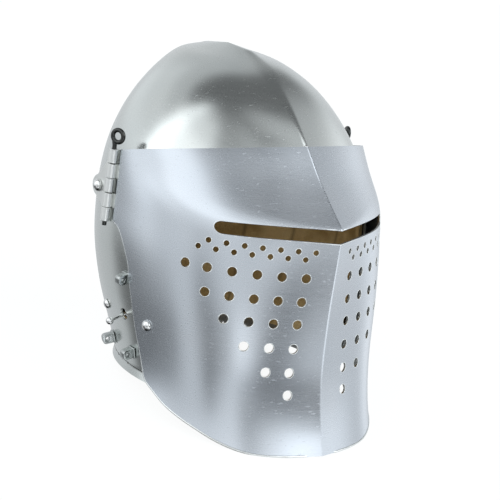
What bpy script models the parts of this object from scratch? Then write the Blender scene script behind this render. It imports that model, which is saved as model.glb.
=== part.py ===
# Bascinet with a hinged visor, in metres, +Z up, the face towards -Y and the wearer's right towards -X.
# Shapes are worked out in the helmet's own frame, with the base rim level at height 0 and the hinge pins
# upright. A root empty then leans the whole helmet back until it rests on its nape rim and its chin edge.

import math

import bmesh
import bpy
from mathutils import Matrix, Vector

# Sheet and clearances
SHEET = 0.0016
VISOR_SHEET = 0.0016
SEAT_GAP = 0.0003
LINING_GAP = 0.0007
VISOR_GAP = 0.0005

# Skull
SKULL_HEIGHT = 0.243
SKULL_HALF_WIDTH = 0.1054
SKULL_FRONT = 0.105
SKULL_BACK = 0.113
LACE_STRIP_HEIGHT = 0.0065
LACE_STRIP_FLARE = 0.0008
BROW_HEIGHT = 0.646 * SKULL_HEIGHT
CHEEK_EDGE = 0.050
LACE_HOLE_DIAMETER = 0.002
LACE_HOLE_PITCH = 0.0095

# Lining
LINING_WALL = 0.0025
LINING_EDGE_SETBACK = 0.005
LINING_HEM_HEIGHT = 0.014

# Visor
VISOR_SIDE_GAP = 0.0015
FACE_ROOM = 0.0145
VISOR_TOP_HEIGHT = 0.7819 * SKULL_HEIGHT
VISOR_TOP_DROP = 0.023
CHIN_DROP = 0.0245
CHIN_FLARE = 0.019
SIGHT_HEIGHT = 0.5625 * SKULL_HEIGHT
SIGHT_TALL = 0.0100
SIGHT_END_TALL = 0.0088
SIGHT_END_DROP = 0.0026
SIGHT_HALF_LENGTH = 0.079
SMALL_BREATH_DIAMETER = 0.0042
LARGE_BREATH_DIAMETER = 0.007

# Hinges, pins and pivots
KNUCKLE_DIAMETER = 0.0075
KNUCKLE_LENGTH = 0.011
KNUCKLE_COUNT = 5
KNUCKLE_GAP = 0.0003
KNUCKLE_STANDOFF = 0.0002
HINGE_BACK = 0.0175
HINGE_EDGE_GAP = 0.0014
HINGE_FOOT_HEIGHT = 0.463 * SKULL_HEIGHT
LEAF_SHEET = 0.0012
PIN_DIAMETER = 0.0036
PIN_PLAY = 0.0002
PIN_TAIL = 0.003
PIN_RING_DIAMETER = 0.012
PIN_NECK = 0.0038
PIVOT_BACK = 0.0405
PIVOT_HEIGHT = HINGE_FOOT_HEIGHT + 0.021
PIVOT_LEAF_RADIUS = 0.008
PIVOT_LEAF_CLEAR = 0.0019
LEAF_BEND_BACK = PIVOT_BACK - 0.006
BOLT_HEAD_DIAMETER = 0.0094
BOLT_HEAD_TALL = 0.0039
BOLT_SHANK_DIAMETER = 0.0045

# Catch, rivet and stud on the right cheek
CATCH_HEIGHT = 0.046
CATCH_FORWARD = 0.003
CATCH_HOLE_DIAMETER = 0.009
CATCH_BALL_DIAMETER = 0.0058
CATCH_STALK_DIAMETER = 0.0023
CATCH_STALK_LENGTH = 0.0126
CATCH_STALK_DROOP = 0.0048
CATCH_SPRING_WIDTH = 0.008
CATCH_SPRING_SHEET = 0.0008
CATCH_SPRING_CLEAR = 0.0012
RIVET_BACK = 0.0255
RIVET_DROP = 0.0018
RIVET_HEAD_DIAMETER = 0.0078
RIVET_SHANK_DIAMETER = 0.003
STUD_HEAD_DIAMETER = 0.0084
STUD_FORWARD = 0.0367
STUD_HEIGHT = 0.0488

# Vervelles
VERVELLE_LENGTH = 0.0092
VERVELLE_TALL = 0.0076
VERVELLE_WIDE = 0.0054
VERVELLE_COLLAR = 0.0086
VERVELLE_COLLAR_SHEET = 0.0012
VERVELLE_EYE_DIAMETER = 0.0032
VERVELLE_HEIGHT = 0.0185
VERVELLE_START = 0.003
VERVELLE_PITCH = 0.034
VERVELLE_SIDE_COUNT = 2
CHEEK_VERVELLE_FORWARD = 0.0086
CHEEK_VERVELLE_HEIGHT = 0.0765

# How finely the faceted shells are drawn
SKULL_FRONT_STEPS = 9
SKULL_BACK_STEPS = 7
VISOR_STEPS = 15
DENSE_STEPS = 48

# Skull sections from the crown to the crease above the lacing strip. Each is a loop round the head.
# front, front_height: the loop's foremost point, as shares of SKULL_FRONT and SKULL_HEIGHT
# width, side, side_height: its widest point, as shares of SKULL_HALF_WIDTH, SKULL_BACK and SKULL_HEIGHT
# back, back_height: its rearmost point, as shares of SKULL_BACK and SKULL_HEIGHT
# keel: slope of each half at the front ridge in degrees, back_keel: the same at the nape
# front_full: how square the front of the plan is
SKULL_COLUMNS = ("front", "front_height", "width", "side", "side_height", "back", "back_height",
                 "keel", "back_keel", "front_full")
SKULL_SECTIONS = (
    (-0.171, 0.996, 0.164, 0.389, 0.982, 0.628, 0.981, 20, 20, 0.55),
    (0.114, 0.947, 0.370, 0.327, 0.958, 0.790, 0.948, 20, 18, 0.56),
    (0.352, 0.883, 0.590, 0.265, 0.901, 0.872, 0.872, 20, 16, 0.57),
    (0.562, 0.807, 0.778, 0.212, 0.817, 0.938, 0.770, 20, 14, 0.58),
    (0.733, 0.724, 0.910, 0.159, 0.718, 0.978, 0.650, 20, 10, 0.60),
    (0.857, 0.638, 0.976, 0.115, 0.611, 1.000, 0.535, 20, 8, 0.60),
    (0.933, 0.535, 1.000, 0.071, 0.496, 0.991, 0.420, 18, 6, 0.60),
    (0.981, 0.412, 0.993, 0.035, 0.370, 0.951, 0.313, 18, 4, 0.60),
    (1.000, 0.267, 0.946, 0.000, 0.241, 0.854, 0.198, 18, 2, 0.60),
    (1.000, 0.123, 0.876, -0.071, 0.115, 0.735, 0.091, 18, 0, 0.60),
    (0.990, 0.027, 0.829, -0.128, 0.027, 0.660, 0.027, 18, 0, 0.60),
)
SKULL_ROW_STEPS = (2, 2, 2, 2, 2, 1, 1, 1, 1, 1)
CROWN_BACK = 0.398
SKULL_ARCH_POWER = 1.15
SKULL_NOSE_FULL = 0.55
SKULL_BACK_FULL = 0.580

# Visor sections. The upper ones run from the top edge to the bend over the sight, the lower ones from
# there to the flared edge.
# rise: share of the way from the bend up to the top edge at the ridge, or from the bend down to the edge
# reach: share of the way from the bend's reach to the top edge's reach, or of CHIN_FLARE beyond the bend
# width: share of the visor's half width
# keel: slope of each half at the ridge in degrees, nose, cheek: how full the curve is near ridge and side
UPPER_VISOR_COLUMNS = ("rise", "reach", "side_rise", "width", "keel", "nose", "cheek")
UPPER_VISOR_SECTIONS = (
    (1.22, 1.22, 1.30, 0.995, 15, 0.55, 0.58),
    (1.00, 1.00, 1.00, 1.000, 16, 0.55, 0.59),
    (0.585, 0.635, 0.60, 1.000, 19, 0.55, 0.60),
    (0.283, 0.320, 0.30, 1.000, 22, 0.54, 0.62),
    (0.00, 0.00, 0.00, 1.000, 24.5, 0.52, 0.63),
)
LOWER_VISOR_COLUMNS = ("drop", "reach", "width", "keel", "nose", "cheek")
LOWER_VISOR_SECTIONS = (
    (0.000, 0.000, 1.000, 24.5, 0.52, 0.63),
    (0.075, 0.032, 1.000, 24, 0.52, 0.67),
    (0.222, 0.037, 1.000, 21.5, 0.53, 0.73),
    (0.418, 0.053, 0.977, 17, 0.55, 0.80),
    (0.633, 0.174, 0.940, 14.5, 0.56, 0.85),
    (0.770, 0.368, 0.922, 13, 0.57, 0.87),
    (0.884, 0.632, 0.926, 11.5, 0.58, 0.86),
    (1.000, 1.000, 0.958, 10, 0.60, 0.82),
    (1.060, 1.210, 0.985, 9, 0.61, 0.80),
)

# Side view of the visor's rear and lower edge, from the foot of the hinge to the chin.
# forward: share of the way from the hinge's front edge to the chin's reach
# drop: share of the way from the hinge's foot down to the chin edge
VISOR_EDGE_SHARES = (
    (0.012, 0.000), (0.060, 0.020), (0.108, 0.084), (0.156, 0.180), (0.171, 0.245), (0.208, 0.395),
    (0.241, 0.522), (0.277, 0.620), (0.304, 0.695), (0.338, 0.770), (0.408, 0.815), (0.488, 0.858),
    (0.588, 0.892), (0.676, 0.920), (0.772, 0.955), (0.860, 0.985), (0.920, 0.998), (1.000, 1.000),
)

# Breaths on each half of the visor. The small ones stand in two staggered rows under the sight.
# height: share of SIGHT_HEIGHT, first, pitch: shares of the visor's half width, measured round the plate from
# its ridge, count: breaths in the row
BREATH_COLUMNS = ("height", "first", "pitch", "count")
SMALL_BREATHS = (
    (0.907, 0.161, 0.1207, 7),
    (0.866, 0.226, 0.1207, 7),
)
LARGE_BREATHS = (
    (0.765, 0.203, 0.168, 5),
    (0.636, 0.212, 0.165, 5),
    (0.5135, 0.221, 0.170, 4),
    (0.382, 0.230, 0.173, 3),
    (0.2515, 0.244, 0.170, 2),
    (0.133, 0.249, 0.170, 1),
    (0.765, 1.028, 0.000, 1),
)

CHEEK_EDGE_SHARES = (
    (1.10, 0.960), (0.97, 0.860), (0.95, 0.700), (0.98, 0.380), (1.08, 0.150), (1.18, 0.000),
)

visorHalfWidth = SKULL_HALF_WIDTH + VISOR_SIDE_GAP + VISOR_SHEET
hingeSide = visorHalfWidth + KNUCKLE_DIAMETER / 2 - VISOR_SHEET + KNUCKLE_STANDOFF
hingeHeight = KNUCKLE_COUNT * KNUCKLE_LENGTH
hingeTopHeight = HINGE_FOOT_HEIGHT + hingeHeight
bendHeight = SIGHT_HEIGHT + SIGHT_TALL / 2
bendReach = SKULL_FRONT + FACE_ROOM
chinReach = bendReach + CHIN_FLARE
TAIL_BACK = 0.016


def lerp(a, b, share):
    return a + (b - a) * share


def smoothRow(rows, place):
    """A row between the given ones, on a smooth curve through them."""
    last = len(rows) - 1
    index = min(int(place), last - 1)
    share = place - index
    before = rows[max(index - 1, 0)]
    start, end = rows[index], rows[index + 1]
    after = rows[min(index + 2, last)]
    row = []
    for a, b, c, d in zip(before, start, end, after):
        a = 2 * b - c if index == 0 else a
        d = 2 * c - b if index == last - 1 else d
        row.append(0.5 * (2 * b + (c - a) * share + (2 * a - 5 * b + 4 * c - d) * share**2
                          + (3 * b - a - 3 * c + d) * share**3))
    return row


def bezier(p0, p1, p2, p3, count):
    points = []
    for step in range(count + 1):
        t = step / count
        weights = ((1 - t) ** 3, 3 * (1 - t) ** 2 * t, 3 * (1 - t) * t * t, t**3)
        points.append(tuple(sum(w * p[axis] for w, p in zip(weights, (p0, p1, p2, p3))) for axis in (0, 1)))
    return points


def skullHalfRing(row, frontSteps, backSteps):
    """The +X half of one skull loop, from the front ridge round to the nape."""
    size = dict(zip(SKULL_COLUMNS, row))
    frontY, frontZ = -size["front"] * SKULL_FRONT, size["front_height"] * SKULL_HEIGHT
    width, sideY = size["width"] * SKULL_HALF_WIDTH, size["side"] * SKULL_BACK
    sideZ = size["side_height"] * SKULL_HEIGHT
    backY, backZ = size["back"] * SKULL_BACK, size["back_height"] * SKULL_HEIGHT
    nose = SKULL_NOSE_FULL * width
    tail = SKULL_BACK_FULL * width
    front = bezier((0, frontY), (nose, frontY + nose * math.tan(math.radians(size["keel"]))),
                   (width, sideY - size["front_full"] * (sideY - frontY)), (width, sideY), frontSteps)
    back = bezier((width, sideY), (width, sideY + SKULL_BACK_FULL * (backY - sideY)),
                  (tail, backY - tail * math.tan(math.radians(size["back_keel"]))), (0, backY), backSteps)
    ring = []
    for x, y in front:
        ring.append(Vector((x, y, lerp(frontZ, sideZ, (x / width) ** SKULL_ARCH_POWER))))
    for x, y in back[1:]:
        ring.append(Vector((x, y, lerp(backZ, sideZ, max(x / width, 0) ** SKULL_ARCH_POWER))))
    return ring


def skullHalf(rowSteps, frontSteps, backSteps):
    """Half loops of the skull from under the crown down to the flared rim and a little below it."""
    rings = []
    for index, steps in enumerate(rowSteps):
        for step in range(steps):
            rings.append(skullHalfRing(smoothRow(SKULL_SECTIONS, index + step / steps), frontSteps, backSteps))
    crease = skullHalfRing(SKULL_SECTIONS[-1], frontSteps, backSteps)
    for point in crease:
        point.z = LACE_STRIP_HEIGHT
    rings.append(crease)
    centre = Vector((0, SKULL_SECTIONS[-1][3] * SKULL_BACK, 0))
    for drop in (0, LACE_STRIP_HEIGHT * 0.46):
        flared = []
        for point in crease:
            outward = Vector((point.x, point.y - centre.y, 0)).normalized()
            share = 1 + drop / LACE_STRIP_HEIGHT
            flared.append(Vector((point.x, point.y, -drop)) + outward * LACE_STRIP_FLARE * share)
        for end in (flared[0], flared[-1]):
            end.x = 0
        rings.append(flared)
    return rings


def visorRow(row, upper):
    """Ridge, side and fullness of one visor section as lengths."""
    topReach = -skullFrontAt(VISOR_TOP_HEIGHT) + topRidgeStandoff()
    if upper:
        size = dict(zip(UPPER_VISOR_COLUMNS, row))
        ridgeY = -lerp(bendReach, topReach, size["reach"])
        ridgeZ = lerp(bendHeight, VISOR_TOP_HEIGHT, size["rise"])
        sideZ = lerp(bendHeight, VISOR_TOP_HEIGHT - VISOR_TOP_DROP, size["side_rise"])
    else:
        size = dict(zip(LOWER_VISOR_COLUMNS, row))
        ridgeY = -(bendReach + CHIN_FLARE * size["reach"])
        ridgeZ = lerp(bendHeight, -CHIN_DROP, size["drop"])
        sideZ = ridgeZ
    return ridgeY, ridgeZ, sideZ, size["width"] * visorHalfWidth, size["keel"], size["nose"], size["cheek"]


def visorHalfRing(row, upper, steps):
    """The +X half of one visor section, from the ridge back to the hinge line and a little past it."""
    ridgeY, ridgeZ, sideZ, width, keel, nose, cheek = visorRow(row, upper)
    reach = TAIL_BACK - ridgeY
    curve = bezier((0, ridgeY), (nose * width, ridgeY + nose * width * math.tan(math.radians(keel))),
                   (width, TAIL_BACK - cheek * reach), (width, TAIL_BACK), steps)
    return [Vector((x, y, lerp(ridgeZ, sideZ, (y - ridgeY) / reach))) for x, y in curve]


def visorHalf(upperSteps, lowerSteps, steps):
    rings = []
    for sections, upper, rowSteps in ((UPPER_VISOR_SECTIONS, True, upperSteps),
                                      (LOWER_VISOR_SECTIONS, False, lowerSteps)):
        for index, count in enumerate(rowSteps):
            for step in range(count):
                rings.append(visorHalfRing(smoothRow(sections, index + step / count), upper, steps))
    rings.append(visorHalfRing(LOWER_VISOR_SECTIONS[-1], False, steps))
    return rings


def skullFrontAt(height):
    """Where the skull's front ridge stands at a height."""
    count = 240
    last = len(SKULL_SECTIONS) - 1
    previous = None
    for step in range(count + 1):
        row = smoothRow(SKULL_SECTIONS, last * step / count)
        point = (-row[0] * SKULL_FRONT, row[1] * SKULL_HEIGHT)
        if previous and previous[1] >= height >= point[1]:
            share = (previous[1] - height) / (previous[1] - point[1])
            return lerp(previous[0], point[0], share)
        previous = point
    return point[0]


def topRidgeStandoff():
    """How far ahead of the skull's ridge the visor's outer ridge stands, measured level."""
    span = VISOR_TOP_HEIGHT / 48
    rise = 2 * span
    run = skullFrontAt(VISOR_TOP_HEIGHT + span) - skullFrontAt(VISOR_TOP_HEIGHT - span)
    slope = math.atan2(rise, run)
    return (VISOR_SHEET + VISOR_GAP) / math.sin(slope)


def sidePoint(rings, y, z):
    """The +X side surface over a place in side view, with its outward normal."""

    def sideX(y, z):
        previous = None
        for ring in rings:
            found = None
            for a, b in zip(ring, ring[1:]):
                if a.y <= y <= b.y:
                    share = (y - a.y) / max(b.y - a.y, 1e-9)
                    found = (lerp(a.x, b.x, share), lerp(a.z, b.z, share))
                    break
            if found and previous and previous[1] >= z >= found[1]:
                return lerp(previous[0], found[0], (previous[1] - z) / (previous[1] - found[1]))
            previous = found or previous
        return previous[0]

    span = SKULL_HEIGHT / 120
    x = sideX(y, z)
    slopeY = (sideX(y + span, z) - sideX(y - span, z)) / (2 * span)
    slopeZ = (sideX(y, z + span) - sideX(y, z - span)) / (2 * span)
    return Vector((x, y, z)), Vector((1, -slopeY, -slopeZ)).normalized()


def levelPoint(rings, distance, height):
    """The +X point of a shell at a height, a distance round it from its front ridge, with its normal."""
    for upper, lower in zip(rings, rings[1:]):
        if min(upper[0].z, upper[-1].z) >= height >= max(lower[0].z, lower[-1].z):
            break
    share = (upper[0].z - height) / (upper[0].z - lower[0].z)
    line = [a.lerp(b, share) for a, b in zip(upper, lower)]
    walked = 0
    for a, b in zip(line, line[1:]):
        step = (b - a).length
        if walked + step >= distance:
            break
        walked += step
    along = (b - a).normalized()
    down = (lower[len(line) // 3] - upper[len(line) // 3]).normalized()
    normal = along.cross(-down).normalized()
    normal = normal if normal.x * a.x >= 0 and normal.dot(Vector((a.x, a.y, 0))) > 0 else -normal
    return a + along * (distance - walked), normal


def offsetHalf(rings, distance):
    """The same half loops moved inwards along their own normals."""
    moved = []
    for i, ring in enumerate(rings):
        row = []
        for j, point in enumerate(ring):
            up = rings[max(i - 1, 0)][j]
            down = rings[min(i + 1, len(rings) - 1)][j]
            back = ring[min(j + 1, len(ring) - 1)]
            front = ring[max(j - 1, 0)]
            if j == 0:
                front = Vector((-back.x, back.y, back.z))
            elif j == len(ring) - 1 and abs(point.x) < 1e-6:
                back = Vector((-front.x, front.y, front.z))
            normal = (down - up).cross(back - front).normalized()
            if normal.dot(point - Vector((0, SKULL_BACK / 11, SKULL_HEIGHT / 2))) < 0:
                normal.negate()
            row.append(point - normal * distance)
        moved.append(row)
    return moved


def clearScene():
    for old in list(bpy.data.objects):
        bpy.data.objects.remove(old, do_unlink=True)


def makeCollection(name):
    collection = bpy.data.collections.new(name)
    bpy.context.scene.collection.children.link(collection)
    return collection


def makeMaterial(name, color, roughness, metallic):
    material = bpy.data.materials.new(name)
    material.use_nodes = True
    shader = material.node_tree.nodes["Principled BSDF"]
    shader.inputs["Base Color"].default_value = (*color, 1)
    shader.inputs["Roughness"].default_value = roughness
    shader.inputs["Metallic"].default_value = metallic
    material.diffuse_color = (*color, 1)
    return material


def meshObject(name, bm, collection, material=None):
    bmesh.ops.recalc_face_normals(bm, faces=bm.faces)
    mesh = bpy.data.meshes.new(name)
    bm.to_mesh(mesh)
    bm.free()
    obj = bpy.data.objects.new(name, mesh)
    collection.objects.link(obj)
    if material:
        mesh.materials.append(material)
    return obj


def asCutter(obj):
    obj.hide_render = True
    obj.display_type = "WIRE"
    return obj


def boolean(obj, other, operation):
    modifier = obj.modifiers.new(other.name, "BOOLEAN")
    modifier.operation = operation
    modifier.solver = "EXACT"
    modifier.object = other
    return modifier


def loftFull(half, crown):
    """A closed dome from half loops, mirrored over X, fanned to a crown point."""
    bm = bmesh.new()
    rows = []
    for ring in half:
        full = [bm.verts.new(point) for point in ring]
        full += [bm.verts.new((-point.x, point.y, point.z)) for point in reversed(ring[1:-1])]
        rows.append(full)
    top = bm.verts.new(crown)
    count = len(rows[0])
    for j in range(count):
        k = (j + 1) % count
        bm.faces.new((top, rows[0][j], rows[0][k]))
        for upper, lower in zip(rows, rows[1:]):
            bm.faces.new((upper[j], lower[j], lower[k], upper[k]))
    bmesh.ops.recalc_face_normals(bm, faces=bm.faces)
    return bm


def loftOpen(half):
    """An open sheet from half sections, mirrored over X."""
    bm = bmesh.new()
    rows = []
    for ring in half:
        row = [bm.verts.new((-point.x, point.y, point.z)) for point in reversed(ring[1:])]
        row += [bm.verts.new(point) for point in ring]
        rows.append(row)
    for upper, lower in zip(rows, rows[1:]):
        for j in range(len(upper) - 1):
            bm.faces.new((upper[j], upper[j + 1], lower[j + 1], lower[j]))
    return bm


def solidify(obj, thickness):
    modifier = obj.modifiers.new("sheet", "SOLIDIFY")
    modifier.thickness = thickness
    modifier.offset = -1
    modifier.use_even_offset = True
    return modifier


def sidePrism(name, outline, lowX, highX, collection):
    """A cutter with a side-view outline of (y, z) places, run from one x to another."""
    bm = bmesh.new()
    near = [bm.verts.new((lowX, y, z)) for y, z in outline]
    far = [bm.verts.new((highX, y, z)) for y, z in outline]
    bm.faces.new(near)
    bm.faces.new(far)
    for j in range(len(outline)):
        k = (j + 1) % len(outline)
        bm.faces.new((near[j], near[k], far[k], far[j]))
    return asCutter(meshObject(name, bm, collection))


def addRod(bm, start, end, radius, sides, endRadius=None):
    """A closed rod or cone between two points, added to a mesh."""
    axis = end - start
    turn = Vector((0, 0, 1)).rotation_difference(axis).to_matrix().to_4x4()
    place = Matrix.Translation((start + end) / 2) @ turn
    bmesh.ops.create_cone(bm, cap_ends=True, cap_tris=False, segments=sides, radius1=radius,
                          radius2=radius if endRadius is None else endRadius, depth=axis.length, matrix=place)


def addBox(bm, low, high):
    size = Vector(high) - Vector(low)
    middle = (Vector(high) + Vector(low)) / 2
    place = Matrix.Translation(middle) @ Matrix.Diagonal((*size, 1))
    bmesh.ops.create_cube(bm, size=1, matrix=place)


def rodsObject(name, rods, collection):
    bm = bmesh.new()
    for start, end, radius, sides in rods:
        addRod(bm, start, end, radius, sides)
    return asCutter(meshObject(name, bm, collection))


def turnedObject(name, profile, place, collection, material, steps=12):
    """A solid turned about its local Z from an outline of (radius, height) places, top to bottom."""
    bm = bmesh.new()
    verts = [bm.verts.new((radius, 0, height)) for radius, height in profile]
    for a, b in zip(verts, verts[1:]):
        bm.edges.new((a, b))
    mesh = bpy.data.meshes.new(name)
    bm.to_mesh(mesh)
    bm.free()
    obj = bpy.data.objects.new(name, mesh)
    collection.objects.link(obj)
    mesh.materials.append(material)
    screw = obj.modifiers.new("turn", "SCREW")
    screw.steps = steps
    screw.render_steps = steps
    screw.merge_threshold = 0.00005
    screw.use_merge_vertices = True
    screw.use_smooth_shade = True
    obj.matrix_world = place
    return obj


def domeProfile(headRadius, headHeight, shankRadius, shankLength):
    """A domed head over a shank, with the head's seat at height 0."""
    rise = [(0, headHeight)]
    for step in range(1, 4):
        angle = math.pi / 2 * step / 4
        rise.append((headRadius * math.sin(angle), headHeight * math.cos(angle)))
    return rise + [(headRadius, 0), (shankRadius, 0), (shankRadius, -shankLength), (0, -shankLength)]


def placeAlong(point, normal):
    """A placement with local Z along a normal."""
    return Matrix.Translation(point) @ Vector((0, 0, 1)).rotation_difference(normal).to_matrix().to_4x4()


def mirrored(vector, side):
    return Vector((side * vector.x, vector.y, vector.z))


def visorEdgePoints():
    """Side-view places of the visor's rear and lower edge, from the hinge's foot to the chin."""
    points = []
    for forward, drop in VISOR_EDGE_SHARES:
        points.append((lerp(visorRearY, -chinReach, forward), lerp(HINGE_FOOT_HEIGHT + HINGE_EDGE_GAP, -CHIN_DROP, drop)))
    return points


def cheekEdgePoints(setback, foot):
    """Side-view places of the face opening's edge, from the brow down the cheek to the rim."""
    points = [(-1.3 * SKULL_FRONT, BROW_HEIGHT + setback)]
    points.append((-1.44 * CHEEK_EDGE + setback, BROW_HEIGHT + setback))
    for forward, height in CHEEK_EDGE_SHARES:
        z = max(height * BROW_HEIGHT, foot)
        points.append((-forward * CHEEK_EDGE + setback, z))
    return points


visorRearY = HINGE_BACK - KNUCKLE_DIAMETER / 2 - HINGE_EDGE_GAP

clearScene()
parts = makeCollection("bascinet")
cutters = makeCollection("bascinet_cutters")

polishedSteel = makeMaterial("polished_steel", (0.60, 0.62, 0.63), 0.24, 1.0)
brushedSteel = makeMaterial("brushed_steel", (0.55, 0.57, 0.60), 0.32, 1.0)
blackenedSteel = makeMaterial("blackened_steel", (0.10, 0.11, 0.11), 0.35, 1.0)
rivetSteel = makeMaterial("rivet_steel", (0.66, 0.68, 0.68), 0.18, 1.0)
liningLeather = makeMaterial("lining_leather", (0.26, 0.19, 0.10), 0.75, 0.0)

skullRings = skullHalf(SKULL_ROW_STEPS, SKULL_FRONT_STEPS, SKULL_BACK_STEPS)
skullDense = skullHalf((8,) * (len(SKULL_SECTIONS) - 1), DENSE_STEPS, DENSE_STEPS)
visorRings = visorHalf((1, 1, 1, 1), (1, 1, 2, 2, 1, 1, 1, 1), VISOR_STEPS)
visorDense = visorHalf((6,) * (len(UPPER_VISOR_SECTIONS) - 1), (6,) * (len(LOWER_VISOR_SECTIONS) - 1),
                       2 * DENSE_STEPS)
crown = Vector((0, CROWN_BACK * SKULL_BACK, SKULL_HEIGHT))
farOut = 2 * SKULL_HALF_WIDTH


def makeSkull():
    skull = meshObject("skull", loftFull(skullRings, crown), parts, polishedSteel)
    solidify(skull, SHEET)
    edge = cheekEdgePoints(0, 0)
    outline = edge + [(farOut, 0), (farOut, 1.2 * SKULL_HEIGHT), (-1.3 * SKULL_FRONT, 1.2 * SKULL_HEIGHT)]
    boolean(skull, sidePrism("skull_outline", outline, -farOut, farOut, cutters), "INTERSECT")
    boolean(skull, rodsObject("skull_holes", skullHoleRods(), cutters), "DIFFERENCE")
    return skull


def skullHoleRods():
    """Lacing holes along the crease, the pivot holes, the catch's hole and its rivet's hole."""
    rods = []
    crease = skullHalfRing(SKULL_SECTIONS[-1], DENSE_STEPS, DENSE_STEPS)
    line = [Vector((p.x, p.y, LACE_STRIP_HEIGHT)) for p in crease]
    lengths = [(b - a).length for a, b in zip(line, line[1:])]
    start = sum(l for l, p in zip(lengths, line) if p.y < -CHEEK_EDGE)
    count = int((sum(lengths) - start - LACE_HOLE_PITCH) / LACE_HOLE_PITCH)
    for index in range(count):
        distance = sum(lengths) - LACE_HOLE_PITCH * (index + 0.5)
        for a, b in zip(line, line[1:]):
            step = (b - a).length
            if distance <= step:
                break
            distance -= step
        point = a.lerp(b, distance / step)
        outward = Vector((b.y - a.y, a.x - b.x, 0)).normalized()
        for side in (-1, 1):
            middle, way = mirrored(point, side), mirrored(outward, side)
            rods.append((middle - way * 3 * SHEET, middle + way * 3 * SHEET, LACE_HOLE_DIAMETER / 2, 5))
    for side in (-1, 1):
        point, normal = pivotSeat(side)
        rods.append((point - normal * 4 * SHEET, point + normal * 2.5 * SHEET, BOLT_SHANK_DIAMETER / 2 + PIN_PLAY, 12))
    for place, radius in ((catchSeat(), CATCH_HOLE_DIAMETER / 2),
                          (rivetSeat(), RIVET_SHANK_DIAMETER / 2 + PIN_PLAY)):
        point, normal = place
        rods.append((point - normal * 4 * SHEET, point + normal * 2.5 * SHEET, radius, 12))
    return rods


def pivotSeat(side):
    """Where a pivot bolt goes through the skull. Its axis is level across the helmet."""
    point, _ = sidePoint(skullDense, PIVOT_BACK, PIVOT_HEIGHT)
    return mirrored(point, side), Vector((side, 0, 0))


def pivotLeafSide():
    """Where the leaf's inner face stands beside the pivot, clear of the skull as it turns."""
    return SKULL_HALF_WIDTH - PIVOT_LEAF_CLEAR


def catchSeat():
    point, normal = sidePoint(skullDense, -CATCH_FORWARD, CATCH_HEIGHT)
    return mirrored(point, -1), mirrored(normal, -1)


def rivetSeat():
    point, normal = sidePoint(skullDense, RIVET_BACK, CATCH_HEIGHT - RIVET_DROP)
    return mirrored(point, -1), mirrored(normal, -1)


def makeLining():
    outer = offsetHalf(skullHalf((1, 1, 1, 1, 1, 1, 1, 1, 1, 1), 7, 5), SHEET + LINING_GAP)
    top = Vector((0, crown.y, crown.z - SHEET - 1.86 * LINING_GAP))
    lining = meshObject("lining", loftFull(outer[:-2], top), parts, liningLeather)
    solidify(lining, LINING_WALL)
    edge = cheekEdgePoints(LINING_EDGE_SETBACK, LINING_HEM_HEIGHT)
    outline = edge + [(farOut, LINING_HEM_HEIGHT), (farOut, 1.2 * SKULL_HEIGHT),
                      (-1.3 * SKULL_FRONT, 1.2 * SKULL_HEIGHT)]
    boolean(lining, sidePrism("lining_outline", outline, -farOut, farOut, cutters), "INTERSECT")
    half = CATCH_SPRING_WIDTH
    front, back = -CATCH_FORWARD - 1.25 * CATCH_SPRING_WIDTH, RIVET_BACK + 1.25 * CATCH_SPRING_WIDTH
    window = [(front, CATCH_HEIGHT - half), (back, CATCH_HEIGHT - half), (back, CATCH_HEIGHT + half),
              (front, CATCH_HEIGHT + half)]
    boolean(lining, sidePrism("lining_window", window, -farOut, -SKULL_HALF_WIDTH / 2, cutters), "DIFFERENCE")
    return lining


def knuckleSpan(index):
    """Bottom and top of a knuckle, counted from the top of the hinge."""
    top = hingeTopHeight - index * KNUCKLE_LENGTH
    return top - KNUCKLE_LENGTH + KNUCKLE_GAP, top


def joinedTool(name, bm, collection):
    return asCutter(meshObject(name, bm, collection))


def makeVisor():
    visor = meshObject("visor", loftOpen(visorRings), parts, brushedSteel)
    solidify(visor, VISOR_SHEET)
    edge = visorEdgePoints()
    topSlope = VISOR_TOP_DROP / (visorTopReach() + HINGE_BACK)
    topAtRear = VISOR_TOP_HEIGHT - topSlope * (visorTopReach() + visorRearY)
    topAhead = VISOR_TOP_HEIGHT + topSlope * bendReach
    outline = [(visorRearY, topAtRear)] + edge
    outline += [(-1.22 * chinReach, -CHIN_DROP), (-visorTopReach() - bendReach, topAhead)]
    boolean(visor, sidePrism("visor_outline", outline, -farOut, farOut, cutters), "INTERSECT")
    boolean(visor, sightCutter(), "DIFFERENCE")
    boolean(visor, rodsObject("breath_cutters", breathRods(), cutters), "DIFFERENCE")
    for index in (1, 3):
        for side, word in ((-1, "right"), (1, "left")):
            low, high = knuckleSpan(index)
            bm = bmesh.new()
            addRod(bm, Vector((side * hingeSide, HINGE_BACK, low)), Vector((side * hingeSide, HINGE_BACK, high)),
                   KNUCKLE_DIAMETER / 2, 10)
            boolean(visor, joinedTool(f"visor_knuckle_{word}_{index}", bm, cutters), "UNION")
            bm = bmesh.new()
            inner = visorHalfWidth - 0.97 * VISOR_SHEET
            outer = visorHalfWidth - 0.03 * VISOR_SHEET
            xs = sorted((side * inner, side * outer))
            addBox(bm, (xs[0], visorRearY - 2.5 * VISOR_SHEET, low), (xs[1], HINGE_BACK, high))
            boolean(visor, joinedTool(f"visor_tab_{word}_{index}", bm, cutters), "UNION")
    boolean(visor, hingeBores("visor_bores"), "DIFFERENCE")
    return visor


def visorTopReach():
    return -skullFrontAt(VISOR_TOP_HEIGHT) + topRidgeStandoff()


def hingeBores(name):
    rods = []
    for side in (-1, 1):
        low = Vector((side * hingeSide, HINGE_BACK, HINGE_FOOT_HEIGHT - KNUCKLE_LENGTH / 2))
        high = Vector((side * hingeSide, HINGE_BACK, hingeTopHeight + KNUCKLE_LENGTH / 2))
        rods.append((low, high, PIN_DIAMETER / 2 + PIN_PLAY, 12))
    return rodsObject(name, rods, cutters)


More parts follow.
